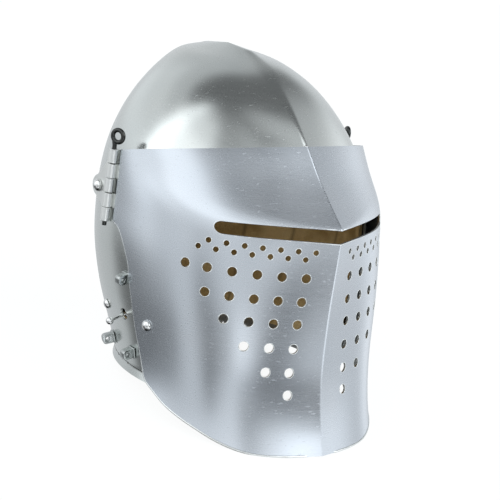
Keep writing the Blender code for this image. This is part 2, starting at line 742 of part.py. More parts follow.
def sightCutter():
    """A slot across the ridge, tallest there, that drops a little towards its rounded ends."""
    half = [(share * SIGHT_HALF_LENGTH, (SIGHT_TALL + (SIGHT_END_TALL - SIGHT_TALL) * share) / 2)
            for share in (0, 0.25, 0.5, 0.75)]
    endRadius = SIGHT_END_TALL / 2
    for step in range(5):
        angle = math.pi / 2 * (1 - step / 4)
        half.append((SIGHT_HALF_LENGTH - endRadius + endRadius * math.cos(angle), endRadius * math.sin(angle)))
    upper = half
    right = upper + [(x, -z) for x, z in reversed(upper[:-1])]
    outline = right + [(-x, z) for x, z in reversed(right[1:-1])]
    bm = bmesh.new()
    level = [SIGHT_HEIGHT - SIGHT_END_DROP * (x / SIGHT_HALF_LENGTH) ** 2 for x, _ in outline]
    near = [bm.verts.new((x, -1.25 * bendReach, rise + z)) for (x, z), rise in zip(outline, level)]
    far = [bm.verts.new((x, -0.38 * bendReach, rise + z)) for (x, z), rise in zip(outline, level)]
    bm.faces.new(near)
    bm.faces.new(far)
    for j in range(len(outline)):
        k = (j + 1) % len(outline)
        bm.faces.new((near[j], near[k], far[k], far[j]))
    return asCutter(meshObject("sight_cutter", bm, cutters))


def breathRods():
    rods = []
    rows = [(row, SMALL_BREATH_DIAMETER, 6) for row in SMALL_BREATHS]
    rows += [(row, LARGE_BREATH_DIAMETER, 8) for row in LARGE_BREATHS]
    for row, diameter, sides in rows:
        breath = dict(zip(BREATH_COLUMNS, row))
        for index in range(breath["count"]):
            distance = (breath["first"] + breath["pitch"] * index) * visorHalfWidth
            point, normal = levelPoint(visorDense, distance, breath["height"] * SIGHT_HEIGHT)
            for side in (-1, 1):
                middle, way = mirrored(point, side), mirrored(normal, side)
                rods.append((middle - way * 3 * VISOR_SHEET, middle + way * 2 * VISOR_SHEET, diameter / 2, sides))
    return rods


def makeHingeArm(side, word):
    """A leaf beside the skull, rounded about the pivot bolt, with three knuckles rolled at its front.

    It is level about the bolt and bends outwards to the hinge, so that it turns clear of the skull.
    """
    front = HINGE_BACK - 0.45 * KNUCKLE_DIAMETER
    leafFront = hingeSide - KNUCKLE_DIAMETER / 2 - LEAF_SHEET / 2
    leafSide = pivotLeafSide()
    bendFront = HINGE_BACK + KNUCKLE_DIAMETER / 2
    lowRow, highRow = HINGE_FOOT_HEIGHT - KNUCKLE_DIAMETER / 2, hingeTopHeight + KNUCKLE_DIAMETER / 2
    far = PIVOT_BACK + 1.4 * PIVOT_LEAF_RADIUS
    bm = bmesh.new()
    grid = []
    for z in (highRow, lowRow):
        row = []
        for y, x in ((front - LEAF_SHEET, leafFront), (bendFront, leafFront), (LEAF_BEND_BACK, leafSide),
                     (far, leafSide)):
            row.append(bm.verts.new((side * (x + LEAF_SHEET), y, z)))
        grid.append(row)
    for upper, lower in zip(grid, grid[1:]):
        for j in range(3):
            corners = (upper[j], lower[j], lower[j + 1], upper[j + 1])
            bm.faces.new(corners if side > 0 else corners[::-1])
    mesh = bpy.data.meshes.new(f"hinge_arm_{word}")
    bm.to_mesh(mesh)
    bm.free()
    arm = bpy.data.objects.new(f"hinge_arm_{word}", mesh)
    parts.objects.link(arm)
    mesh.materials.append(polishedSteel)
    solidify(arm, LEAF_SHEET)
    outline = [(front, hingeTopHeight), (front, HINGE_FOOT_HEIGHT + KNUCKLE_GAP)]
    for back, rise in ((0.15, 0.02), (0.40, 0.09)):
        outline.append((lerp(bendFront, PIVOT_BACK, back), lerp(HINGE_FOOT_HEIGHT, hingeTopHeight, rise)))
    for step in range(7):
        angle = math.radians(lerp(-75, 70, step / 6))
        outline.append((PIVOT_BACK + PIVOT_LEAF_RADIUS * math.cos(angle),
                        PIVOT_HEIGHT + PIVOT_LEAF_RADIUS * math.sin(angle)))
    for back, rise in ((0.45, 0.82), (0.15, 0.98)):
        outline.append((lerp(bendFront, PIVOT_BACK, back), lerp(HINGE_FOOT_HEIGHT, hingeTopHeight, rise)))
    outer = sorted((side * SKULL_HALF_WIDTH / 5, side * farOut))
    boolean(arm, sidePrism(f"arm_outline_{word}", outline, outer[0], outer[1], cutters), "INTERSECT")
    for index in (1, 3):
        low, high = knuckleSpan(index)
        ahead, behind = front - KNUCKLE_DIAMETER, HINGE_BACK + 0.63 * KNUCKLE_DIAMETER
        notch = [(ahead, low - KNUCKLE_GAP), (behind, low - KNUCKLE_GAP), (behind, high + KNUCKLE_GAP),
                 (ahead, high + KNUCKLE_GAP)]
        tool = sidePrism(f"arm_notch_{word}_{index}", notch, outer[0], outer[1], cutters)
        boolean(arm, tool, "DIFFERENCE")
    for index in (0, 2, 4):
        low, high = knuckleSpan(index)
        bm = bmesh.new()
        addRod(bm, Vector((side * hingeSide, HINGE_BACK, low)), Vector((side * hingeSide, HINGE_BACK, high)),
               KNUCKLE_DIAMETER / 2, 10)
        boolean(arm, joinedTool(f"arm_knuckle_{word}_{index}", bm, cutters), "UNION")
        bm = bmesh.new()
        xs = sorted((side * (leafFront + LEAF_SHEET / 6), side * (hingeSide - 0.65 * PIN_DIAMETER)))
        addBox(bm, (xs[0], front + LEAF_SHEET / 2, low + LEAF_SHEET / 6),
               (xs[1], HINGE_BACK + 0.45 * KNUCKLE_DIAMETER, high - LEAF_SHEET / 6))
        boolean(arm, joinedTool(f"arm_tab_{word}_{index}", bm, cutters), "UNION")
    boolean(arm, hingeBores(f"arm_bores_{word}"), "DIFFERENCE")
    point, normal = pivotSeat(side)
    hole = rodsObject(f"arm_pivot_hole_{word}", [(point - normal * 4 * LEAF_SHEET,
                                                  point + normal * 7 * LEAF_SHEET, BOLT_SHANK_DIAMETER / 2 + PIN_PLAY, 12)], cutters)
    boolean(arm, hole, "DIFFERENCE")
    return arm


def makePin(side, word):
    """A hinge pin with a ring at its top, its origin at the ring's centre."""
    ringRadius = (PIN_RING_DIAMETER - PIN_DIAMETER) / 2
    ringHeight = hingeTopHeight + PIN_NECK + PIN_RING_DIAMETER / 2
    centre = Vector((side * hingeSide, HINGE_BACK, ringHeight))
    turn = Matrix.Rotation(math.radians(-67 * -side), 4, "Z") @ Matrix.Rotation(math.pi / 2, 4, "X")
    bpy.ops.mesh.primitive_torus_add(major_radius=ringRadius, minor_radius=PIN_DIAMETER / 2, major_segments=12,
                                     minor_segments=6)
    pin = bpy.context.object
    pin.name = f"pin_{word}"
    for old in list(pin.users_collection):
        old.objects.unlink(pin)
    parts.objects.link(pin)
    pin.data.materials.clear()
    pin.data.materials.append(blackenedSteel)
    pin.matrix_world = Matrix.Translation(centre) @ turn
    bm = bmesh.new()
    foot = Vector((side * hingeSide, HINGE_BACK, HINGE_FOOT_HEIGHT - PIN_TAIL))
    head = Vector((side * hingeSide, HINGE_BACK, ringHeight - ringRadius))
    addRod(bm, foot, head, PIN_DIAMETER / 2 * 0.98, 8)
    boolean(pin, joinedTool(f"pin_shank_{word}", bm, cutters), "UNION")
    return pin


def makePivotBolt(side, word):
    point, normal = pivotSeat(side)
    seat = Vector((side * (pivotLeafSide() + LEAF_SHEET + SEAT_GAP), point.y, point.z))
    shank = (seat - point).length + SHEET
    profile = domeProfile(BOLT_HEAD_DIAMETER / 2, BOLT_HEAD_TALL, BOLT_SHANK_DIAMETER / 2, shank)
    return turnedObject(f"pivot_bolt_{word}", profile, placeAlong(seat, normal), parts, rivetSteel)


def makeCatch():
    """The spring catch: a strip inside the skull, and a stalk through the hole with a ball on its end."""
    hole, holeNormal = catchSeat()
    ends = CATCH_SPRING_WIDTH / 2
    columns, rows = 8, 2
    bm = bmesh.new()
    grid = []
    for i in range(rows + 1):
        row = []
        for j in range(columns + 1):
            y = lerp(-CATCH_FORWARD - ends, RIVET_BACK + ends, j / columns)
            z = CATCH_HEIGHT + CATCH_SPRING_WIDTH * (0.5 - i / rows)
            point, normal = sidePoint(skullDense, y, z)
            row.append(bm.verts.new(mirrored(point - normal * (SHEET + CATCH_SPRING_CLEAR), -1)))
        grid.append(row)
    for upper, lower in zip(grid, grid[1:]):
        for j in range(columns):
            bm.faces.new((upper[j], upper[j + 1], lower[j + 1], lower[j]))
    mesh = bpy.data.meshes.new("catch")
    bm.to_mesh(mesh)
    bm.free()
    catch = bpy.data.objects.new("catch", mesh)
    parts.objects.link(catch)
    mesh.materials.append(rivetSteel)
    solidify(catch, CATCH_SPRING_SHEET)
    outward = (Vector((-1, 0, 0)) * CATCH_STALK_LENGTH + Vector((0, 0, -1)) * CATCH_STALK_DROOP).normalized()
    bm = bmesh.new()
    tip = hole + outward * CATCH_STALK_LENGTH
    foot = hole - holeNormal * (SHEET + CATCH_SPRING_CLEAR + CATCH_SPRING_SHEET / 2)
    addRod(bm, foot, tip, CATCH_STALK_DIAMETER / 2, 8)
    boolean(catch, joinedTool("catch_stalk", bm, cutters), "UNION")
    bm = bmesh.new()
    bmesh.ops.create_uvsphere(bm, u_segments=10, v_segments=7, radius=CATCH_BALL_DIAMETER / 2,
                              matrix=placeAlong(tip, outward))
    boolean(catch, joinedTool("catch_ball", bm, cutters), "UNION")
    return catch


def makeCatchRivet():
    point, normal = rivetSeat()
    profile = domeProfile(RIVET_HEAD_DIAMETER / 2, RIVET_HEAD_DIAMETER * 0.36, RIVET_SHANK_DIAMETER / 2,
                          SHEET + CATCH_SPRING_CLEAR)
    return turnedObject("catch_rivet", profile, placeAlong(point + normal * SEAT_GAP, normal), parts, rivetSteel)


def makeVisorStud():
    point, normal = sidePoint(visorDense, -STUD_FORWARD, STUD_HEIGHT)
    point, normal = mirrored(point, -1), mirrored(normal, -1)
    profile = domeProfile(STUD_HEAD_DIAMETER / 2, STUD_HEAD_DIAMETER * 0.38, STUD_HEAD_DIAMETER / 5, 0)
    profile = profile[:5] + [(0, 0)]
    return turnedObject("visor_stud", profile, placeAlong(point + normal * SEAT_GAP, normal), parts, rivetSteel)


def makeVervelle(name, point, normal):
    """A pierced lug on a square collar, standing out of the skull."""
    across = Vector((0, 0, 1)).cross(normal).normalized()
    base = point + normal * SEAT_GAP
    frame = Matrix((normal, across, normal.cross(across))).transposed().to_4x4()
    place = Matrix.Translation(base) @ frame
    bm = bmesh.new()
    addBox(bm, (0, -VERVELLE_COLLAR / 2, -VERVELLE_COLLAR / 2),
           (VERVELLE_COLLAR_SHEET, VERVELLE_COLLAR / 2, VERVELLE_COLLAR / 2))
    vervelle = meshObject(name, bm, parts, rivetSteel)
    vervelle.matrix_world = place
    outline = [(VERVELLE_COLLAR_SHEET / 2, -VERVELLE_TALL / 2), (VERVELLE_COLLAR_SHEET / 2, VERVELLE_TALL / 2)]
    tip = VERVELLE_LENGTH - VERVELLE_TALL / 2
    for step in range(5):
        angle = math.radians(lerp(90, -90, step / 4))
        outline.append((tip + VERVELLE_TALL / 2 * math.cos(angle), VERVELLE_TALL / 2 * math.sin(angle)))
    bm = bmesh.new()
    near = [bm.verts.new((x, -VERVELLE_WIDE / 2, z)) for x, z in outline]
    far = [bm.verts.new((x, VERVELLE_WIDE / 2, z)) for x, z in outline]
    bm.faces.new(near)
    bm.faces.new(far)
    for j in range(len(outline)):
        k = (j + 1) % len(outline)
        bm.faces.new((near[j], near[k], far[k], far[j]))
    lug = joinedTool(f"{name}_lug", bm, cutters)
    lug.matrix_world = place
    boolean(vervelle, lug, "UNION")
    bm = bmesh.new()
    addRod(bm, Vector((tip, -VERVELLE_WIDE, 0)), Vector((tip, VERVELLE_WIDE, 0)), VERVELLE_EYE_DIAMETER / 2, 6)
    eye = joinedTool(f"{name}_eye", bm, cutters)
    eye.matrix_world = place
    boolean(vervelle, eye, "DIFFERENCE")
    return vervelle


def makeVervelles():
    """Lugs low on each side behind the widest point, one at the nape, and one on each cheek."""
    made = []
    line, above = [], []
    for point, higher in zip(skullHalfAtHeight(VERVELLE_HEIGHT), skullHalfAtHeight(1.17 * VERVELLE_HEIGHT)):
        if point.y >= SKULL_SECTIONS[-1][3] * SKULL_BACK:
            line.append(point)
            above.append(higher)
    lengths = [(b - a).length for a, b in zip(line, line[1:])]
    distances = [VERVELLE_START + VERVELLE_PITCH * index for index in range(VERVELLE_SIDE_COUNT)]
    for index, distance in enumerate(distances + [sum(lengths)]):
        for place, step in enumerate(lengths):
            if distance <= step * 1.001:
                break
            distance -= step
        point = line[place].lerp(line[place + 1], min(distance / step, 1))
        along, up = line[place + 1] - line[place], above[place] - line[place]
        normal = up.cross(along).normalized()
        normal = normal if normal.dot(Vector((point.x, point.y, 0))) > 0 else -normal
        if index == VERVELLE_SIDE_COUNT:
            normal.x = 0
            made.append(makeVervelle("vervelle_nape", Vector((0, point.y, point.z)), normal.normalized()))
            continue
        for side, word in ((-1, "right"), (1, "left")):
            made.append(makeVervelle(f"vervelle_{word}_{index + 1}", mirrored(point, side),
                                     mirrored(normal, side)))
    for side, word in ((-1, "right"), (1, "left")):
        point, normal = sidePoint(skullDense, -CHEEK_VERVELLE_FORWARD, CHEEK_VERVELLE_HEIGHT)
        made.append(makeVervelle(f"vervelle_cheek_{word}", mirrored(point, side), mirrored(normal, side)))
    return made


def skullHalfAtHeight(height):
    """The skull's outer half loop cut level at a height, from the front to the nape."""
    points = []
    for column in range(len(skullDense[0])):
        for upper, lower in zip(skullDense, skullDense[1:]):
            a, b = upper[column], lower[column]
            if a.z >= height >= b.z:
                points.append(a.lerp(b, (a.z - height) / (a.z - b.z)))
                break
    return points


def restTilt():
    """How far back the helmet leans so that its chin edge and its nape rim both touch the floor."""
    nape = skullRings[-2][-1].y
    tilts = [math.atan2(-z, nape - y) for y, z in visorEdgePoints()]
    return max(tilts)


def seatOnFloor(root, pieces):
    """Leans the root back and moves it so that the helmet's box stands centred on the origin."""
    root.rotation_euler = (-restTilt(), 0, 0)
    bpy.context.view_layer.update()
    graph = bpy.context.evaluated_depsgraph_get()
    lows, highs = [1e9] * 3, [-1e9] * 3
    for piece in pieces:
        evaluated = piece.evaluated_get(graph)
        mesh = evaluated.to_mesh()
        for vertex in mesh.vertices:
            place = evaluated.matrix_world @ vertex.co
            lows = [min(a, b) for a, b in zip(lows, place)]
            highs = [max(a, b) for a, b in zip(highs, place)]
        evaluated.to_mesh_clear()
    root.location = (-(lows[0] + highs[0]) / 2, -(lows[1] + highs[1]) / 2, -lows[2])


root = bpy.data.objects.new("bascinet_rest", None)
parts.objects.link(root)

pieces = [makeSkull(), makeLining(), makeVisor(), makeCatch(), makeCatchRivet(), makeVisorStud()]
for side, word in ((-1, "right"), (1, "left")):
    pieces += [makeHingeArm(side, word), makePin(side, word), makePivotBolt(side, word)]
pieces += makeVervelles()
for cutter in cutters.objects:
    cutter.parent = root
for piece in pieces:
    piece.parent = root
    piece.data.shade_smooth()
    piece.data.set_sharp_from_angle(angle=math.radians(35))
seatOnFloor(root, pieces)
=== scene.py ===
import math

import bmesh
import bpy
from mathutils import Matrix, Vector
from mathutils.bvhtree import BVHTree


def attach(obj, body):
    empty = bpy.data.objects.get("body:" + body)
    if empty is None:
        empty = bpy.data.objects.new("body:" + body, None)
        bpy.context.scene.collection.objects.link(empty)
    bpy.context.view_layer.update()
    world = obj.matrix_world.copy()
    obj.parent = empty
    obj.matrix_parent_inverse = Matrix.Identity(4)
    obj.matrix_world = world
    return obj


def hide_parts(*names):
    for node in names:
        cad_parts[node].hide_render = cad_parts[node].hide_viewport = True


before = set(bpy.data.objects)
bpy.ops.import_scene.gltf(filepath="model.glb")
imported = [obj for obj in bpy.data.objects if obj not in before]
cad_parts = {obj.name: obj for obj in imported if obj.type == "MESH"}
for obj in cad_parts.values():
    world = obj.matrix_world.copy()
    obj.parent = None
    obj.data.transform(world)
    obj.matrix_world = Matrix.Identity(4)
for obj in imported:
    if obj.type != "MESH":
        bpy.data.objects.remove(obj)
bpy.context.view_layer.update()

mm = 0.001
farOut = 0.3  # past the helmet on every side, in metres
insidePoint = Vector((0, 0.01, 0.12))  # well inside the helmet, to tell outward from inward

# The helmet's own frame has its base rim level at height 0 and its hinge pins upright.
# The helmet leans back from it to rest on its chin edge.
rest = {"leanDegrees": 6.8444, "back": 5.94, "up": 8.98}
helmetFrame = (Matrix.Translation((0, rest["back"] * mm, rest["up"] * mm))
               @ Matrix.Rotation(math.radians(-rest["leanDegrees"]), 4, "X"))

# Sizes in mm that the shells share
sizes = {
    "skullHeight": 243.0, "skullHalfWidth": 105.4, "skullFront": 105.0, "skullBack": 113.0,
    "crownBack": 45.0, "stripHeight": 6.5, "stripFlare": 0.8, "sheet": 1.6,
    "visorHalfWidth": 108.5, "visorTop": 190.0, "visorTopDrop": 23.0, "visorTopReach": 66.6,
    "bendHeight": 141.7, "bendReach": 119.5, "chinDrop": 24.5, "chinFlare": 19.0, "tailBack": 16.0,
    "pivotBack": 40.5, "pivotHeight": 133.5, "catchForward": 3.0, "catchHeight": 46.0,
    "catchRivetBack": 25.5, "catchRivetHeight": 44.2,
}

skullColumns = ("front", "frontHeight", "width", "side", "sideHeight", "back", "backHeight",
                "keel", "backKeel", "frontFull")
skullSections = (
    (-0.171, 0.996, 0.164, 0.389, 0.982, 0.628, 0.981, 20, 20, 0.55),
    (0.114, 0.947, 0.370, 0.327, 0.958, 0.790, 0.948, 20, 18, 0.56),
    (0.352, 0.883, 0.590, 0.265, 0.901, 0.872, 0.872, 20, 16, 0.57),
    (0.562, 0.807, 0.778, 0.212, 0.817, 0.938, 0.770, 20, 14, 0.58),
    (0.733, 0.724, 0.910, 0.159, 0.718, 0.978, 0.650, 20, 10, 0.60),
    (0.857, 0.638, 0.976, 0.115, 0.611, 1.000, 0.535, 20, 8, 0.60),
    (0.933, 0.535, 1.000, 0.071, 0.496, 0.991, 0.420, 18, 6, 0.60),
    (0.981, 0.412, 0.993, 0.035, 0.370, 0.951, 0.313, 18, 4, 0.60),
    (1.000, 0.267, 0.946, 0.000, 0.241, 0.854, 0.198, 18, 2, 0.60),
    (1.000, 0.123, 0.876, -0.071, 0.115, 0.735, 0.091, 18, 0, 0.60),
    (0.990, 0.027, 0.829, -0.128, 0.027, 0.660, 0.027, 18, 0, 0.60),
)
upperColumns = ("rise", "reach", "sideRise", "width", "keel", "nose", "cheek")
upperSections = (
    (1.22, 1.22, 1.30, 0.995, 15, 0.55, 0.58),
    (1.00, 1.00, 1.00, 1.000, 16, 0.55, 0.59),
    (0.585, 0.635, 0.60, 1.000, 19, 0.55, 0.60),
    (0.283, 0.320, 0.30, 1.000, 22, 0.54, 0.62),
    (0.00, 0.00, 0.00, 1.000, 24.5, 0.52, 0.63),
)
lowerColumns = ("drop", "reach", "width", "keel", "nose", "cheek")
lowerSections = (
    (0.000, 0.000, 1.000, 24.5, 0.52, 0.63),
    (0.075, 0.032, 1.000, 24, 0.52, 0.67),
    (0.222, 0.037, 1.000, 21.5, 0.53, 0.73),
    (0.418, 0.053, 0.977, 17, 0.55, 0.80),
    (0.633, 0.174, 0.940, 14.5, 0.56, 0.85),
    (0.770, 0.368, 0.922, 13, 0.57, 0.87),
    (0.884, 0.632, 0.926, 11.5, 0.58, 0.86),
    (1.000, 1.000, 0.958, 10, 0.60, 0.82),
    (1.060, 1.210, 0.985, 9, 0.61, 0.80),
)
# Side view of the visor's rear and lower edge: y and z in mm from the foot of the hinge to the chin
visorEdge = (
    (10.5, 113.9), (3.3, 111.1), (-3.9, 102.3), (-11.2, 89.0), (-13.4, 80.0), (-19.0, 59.2), (-24.0, 41.7),
    (-29.4, 28.1), (-33.5, 17.7), (-38.6, 7.3), (-49.2, 1.1), (-61.3, -4.8), (-76.3, -9.6), (-89.6, -13.4),
    (-104.1, -18.3), (-117.4, -22.4), (-126.4, -24.2), (-138.5, -24.5),
)

print("tables read")


def lerp(a, b, share):
    return a + (b - a) * share


def smoothStep(low, high, value):
    share = min(max((value - low) / (high - low), 0), 1)
    return share * share * (3 - 2 * share)


def onSide(vector, side):
    return Vector((side * vector.x, vector.y, vector.z))


# A row between the given ones, on a smooth curve through them
def smoothRow(rows, place):
    last = len(rows) - 1
    index = min(int(place), last - 1)
    share = place - index
    rowsAround = (rows[max(index - 1, 0)], rows[index], rows[index + 1], rows[min(index + 2, last)])
    row = []
    for a, b, c, d in zip(*rowsAround):
        a = 2 * b - c if index == 0 else a
        d = 2 * c - b if index == last - 1 else d
        row.append(0.5 * (2 * b + (c - a) * share + (2 * a - 5 * b + 4 * c - d) * share**2
                          + (3 * b - a - 3 * c + d) * share**3))
    return row


def bezier(corners, shares):
    points = []
    for t in shares:
        weights = ((1 - t) ** 3, 3 * (1 - t) ** 2 * t, 3 * (1 - t) * t * t, t**3)
        points.append(tuple(sum(w * p[axis] for w, p in zip(weights, corners)) for axis in (0, 1)))
    return points


closeShares = (0, 0.006, 0.018, 0.036)  # places along a half section, close together beside the ridge
evenFrom = 0.06  # from here on they are evenly spaced


def ridgeShares(count):
    return list(closeShares) + [evenFrom + (1 - evenFrom) * step / count for step in range(count + 1)]


# How full the skull's quarter sections are, and how soon they leave the ridge's height for the side's
skullCurve = {"noseShare": 0.55, "tailShare": 0.58, "levelPower": 1.15}


def skullHalfRing(row, frontShares, backShares):
    size = dict(zip(skullColumns, row))
    frontY, frontZ = -size["front"] * sizes["skullFront"], size["frontHeight"] * sizes["skullHeight"]
    width, sideY = size["width"] * sizes["skullHalfWidth"], size["side"] * sizes["skullBack"]
    sideZ = size["sideHeight"] * sizes["skullHeight"]
    backY, backZ = size["back"] * sizes["skullBack"], size["backHeight"] * sizes["skullHeight"]
    nose, tail = skullCurve["noseShare"] * width, skullCurve["tailShare"] * width
    power = skullCurve["levelPower"]
    front = bezier(((0, frontY), (nose, frontY + nose * math.tan(math.radians(size["keel"]))),
                    (width, sideY - size["frontFull"] * (sideY - frontY)), (width, sideY)), frontShares)
    back = bezier(((width, sideY), (width, sideY + skullCurve["tailShare"] * (backY - sideY)),
                   (tail, backY - tail * math.tan(math.radians(size["backKeel"]))), (0, backY)), backShares)
    ring = [Vector((x, y, lerp(frontZ, sideZ, (x / width) ** power))) * mm for x, y in front]
    ring += [Vector((x, y, lerp(backZ, sideZ, max(x / width, 0) ** power))) * mm for x, y in back[1:]]
    return ring


rimDrops = (-0.8, -0.55, -0.3, 0, 0.45)  # rings of the flared strip, from the crease to below the rim


# Half loops of the skull from under the crown down to the flared rim and a little below it
def skullHalf(steps, frontCount, backCount):
    frontShares = ridgeShares(frontCount)
    backShares = [1 - share for share in reversed(ridgeShares(backCount))]
    rings = []
    for index in range(len(skullSections) - 1):
        for step in range(steps):
            row = smoothRow(skullSections, index + step / steps)
            rings.append(skullHalfRing(row, frontShares, backShares))
    crease = skullHalfRing(skullSections[-1], frontShares, backShares)
    centreY = skullSections[-1][3] * sizes["skullBack"] * mm
    for point in crease:
        point.z = sizes["stripHeight"] * mm
    rings.append(crease)
    for drop in rimDrops:
        flared = []
        for point in crease:
            outward = Vector((point.x, point.y - centreY, 0)).normalized()
            place = Vector((point.x, point.y, -drop * sizes["stripHeight"] * mm))
            flared.append(place + outward * sizes["stripFlare"] * mm * (1 + drop))
        for end in (flared[0], flared[-1]):
            end.x = 0
        rings.append(flared)
    return rings


def visorHalfRing(row, upper, shares):
    if upper:
        size = dict(zip(upperColumns, row))
        ridgeY = -lerp(sizes["bendReach"], sizes["visorTopReach"], size["reach"])
        ridgeZ = lerp(sizes["bendHeight"], sizes["visorTop"], size["rise"])
        sideZ = lerp(sizes["bendHeight"], sizes["visorTop"] - sizes["visorTopDrop"], size["sideRise"])
    else:
        size = dict(zip(lowerColumns, row))
        ridgeY = -(sizes["bendReach"] + sizes["chinFlare"] * size["reach"])
        ridgeZ = lerp(sizes["bendHeight"], -sizes["chinDrop"], size["drop"])
        sideZ = ridgeZ
    width, tailY = size["width"] * sizes["visorHalfWidth"], sizes["tailBack"]
    nose = size["nose"] * width
    reach = tailY - ridgeY
    curve = bezier(((0, ridgeY), (nose, ridgeY + nose * math.tan(math.radians(size["keel"]))),
                    (width, tailY - size["cheek"] * reach), (width, tailY)), shares)
    return [Vector((x, y, lerp(ridgeZ, sideZ, (y - ridgeY) / reach))) * mm for x, y in curve]


# Half sections of the visor above and below the bend over the sight, as two lists
def visorHalf(upperSteps, lowerSteps, count):
    shares = ridgeShares(count)
    halves = []
    for sections, upper, steps in ((upperSections, True, upperSteps), (lowerSections, False, lowerSteps)):
        rings = []
        for index in range(len(sections) - 1):
            for step in range(steps):
                rings.append(visorHalfRing(smoothRow(sections, index + step / steps), upper, shares))
        rings.append(visorHalfRing(sections[-1], upper, shares))
        halves.append(rings)
    return halves


# Smooth normals and places on the +X half of a shell, looked up for either half
class HalfSurface:
    def __init__(self, grids, rounding):
        self.points, self.normals, self.faces = [], [], []
        self.rounding = rounding
        for rings in grids:
            start, width = len(self.points), len(rings[0])
            for i, ring in enumerate(rings):
                for j, point in enumerate(ring):
                    down = rings[min(i + 1, len(rings) - 1)][j] - rings[max(i - 1, 0)][j]
                    along = ring[min(j + 1, width - 1)] - ring[max(j - 1, 0)]
                    normal = down.cross(along).normalized()
                    if normal.dot(point - insidePoint) < 0:
                        normal.negate()
                    self.points.append(point)
                    self.normals.append(normal)
            for i in range(len(rings) - 1):
                for j in range(width - 1):
                    a = start + i * width + j
                    self.faces += [(a, a + 1, a + width + 1), (a, a + width + 1, a + width)]
        self.tree = BVHTree.FromPolygons(self.points, self.faces)

    # Place and normal on the surface nearest a point on either half
    def nearest(self, point):
        side = -1 if point.x < 0 else 1
        place, _, index, _ = self.tree.find_nearest(Vector((abs(point.x), point.y, point.z)))
        a, b, c = (self.points[k] for k in self.faces[index])
        v0, v1, v2 = b - a, c - a, place - a
        d00, d01, d11, d20, d21 = v0.dot(v0), v0.dot(v1), v1.dot(v1), v2.dot(v0), v2.dot(v1)
        scale = d00 * d11 - d01 * d01
        v = (d11 * d20 - d01 * d21) / scale if scale else 0
        w = (d00 * d21 - d01 * d20) / scale if scale else 0
        na, nb, nc = (self.normals[k] for k in self.faces[index])
        normal = (na * (1 - v - w) + nb * v + nc * w).normalized()
        soft = self.rounding(place)
        normal.x *= smoothStep(0, 1, abs(place.x) / soft) if soft else 1
        normal.x *= side
        return onSide(place, side), normal.normalized()

    # Place and normal where a line straight in from one side meets the surface
    def atSide(self, y, z, side):
        place, _, _, _ = self.tree.ray_cast(Vector((farOut, y, z)), Vector((-1, 0, 0)))
        return self.nearest(onSide(place, side))


def meshObject(name, bm, materials=()):
    mesh = bpy.data.meshes.new(name)
    bm.to_mesh(mesh)
    bm.free()
    obj = bpy.data.objects.new(name, mesh)
    bpy.context.scene.collection.objects.link(obj)
    for material in materials:
        mesh.materials.append(material)
    return obj


# A sheet from half loops mirrored over X: closed round the back, or open like the visor
def loft(rings, closed, crown=None):
    bm = bmesh.new()
    rows = []
    for ring in rings:
        if closed:
            row = [bm.verts.new(point) for point in ring]
            row += [bm.verts.new(onSide(point, -1)) for point in reversed(ring[1:-1])]
        else:
            row = [bm.verts.new(onSide(point, -1)) for point in reversed(ring[1:])]
            row += [bm.verts.new(point) for point in ring]
        rows.append(row)
    count = len(rows[0])
    spans = range(count if closed else count - 1)
    if crown:
        top = bm.verts.new(crown)
        for j in spans:
            bm.faces.new((top, rows[0][j], rows[0][(j + 1) % count]))
    for upper, lower in zip(rows, rows[1:]):
        for j in spans:
            k = (j + 1) % count
            bm.faces.new((upper[j], lower[j], lower[k], upper[k]))
    bmesh.ops.recalc_face_normals(bm, faces=bm.faces)
    outward = sum(face.normal.dot(face.calc_center_median() - insidePoint) for face in bm.faces)
    if outward < 0:
        bmesh.ops.reverse_faces(bm, faces=bm.faces)
    return bm


def bridge(bm, upper, lower):
    for k in range(len(upper)):
        n = (k + 1) % len(upper)
        bm.faces.new((upper[k], upper[n], lower[n], lower[k]))


def circleAngles(count):
    return [2 * math.pi * k / count for k in range(count)]


def wayAt(path, index):
    return (path[min(index + 1, len(path) - 1)] - path[max(index - 1, 0)]).normalized()


# A closed cutter with an outline in the plane across an axis, run from low to high along it
def extruded(name, outline, axis, low, high):
    bm = bmesh.new()
    ends = []
    for depth in (low, high):
        ends.append([])
        for a, b in outline:
            ends[-1].append(bm.verts.new((depth, a, b) if axis == "X" else (a, depth, b)))
        bm.faces.new(ends[-1])
    for j in range(len(outline)):
        k = (j + 1) % len(outline)
        bm.faces.new((ends[0][j], ends[0][k], ends[1][k], ends[1][j]))
    bmesh.ops.recalc_face_normals(bm, faces=bm.faces)
    return meshObject(name, bm)


def addRod(bm, start, end, radius, sides):
    axis = end - start
    turn = Vector((0, 0, 1)).rotation_difference(axis).to_matrix().to_4x4()
    bmesh.ops.create_cone(bm, cap_ends=True, segments=sides, radius1=radius, radius2=radius,
                          depth=axis.length, matrix=Matrix.Translation((start + end) / 2) @ turn)


def addBlock(bm, size, middle):
    bmesh.ops.create_cube(bm, size=1, matrix=Matrix.Translation(middle) @ Matrix.Diagonal((*size, 1)))


def thicken(obj, thickness, even):
    sheet = obj.modifiers.new("sheet", "SOLIDIFY")
    sheet.thickness, sheet.offset, sheet.use_even_offset = thickness * mm, -1, even


def shadeSmooth(obj, sharpDegrees=40):
    obj.data.shade_smooth()
    obj.data.set_sharp_from_angle(angle=math.radians(sharpDegrees))


# The object's mesh with its modifiers worked in, as a new object. The old one goes
def evaluated(obj, name):
    bpy.context.view_layer.update()
    graph = bpy.context.evaluated_depsgraph_get()
    mesh = bpy.data.meshes.new_from_object(obj.evaluated_get(graph), preserve_all_data_layers=True,
                                           depsgraph=graph)
    made = bpy.data.objects.new(name, mesh)
    bpy.context.scene.collection.objects.link(made)
    bpy.data.objects.remove(obj, do_unlink=True)
    return made


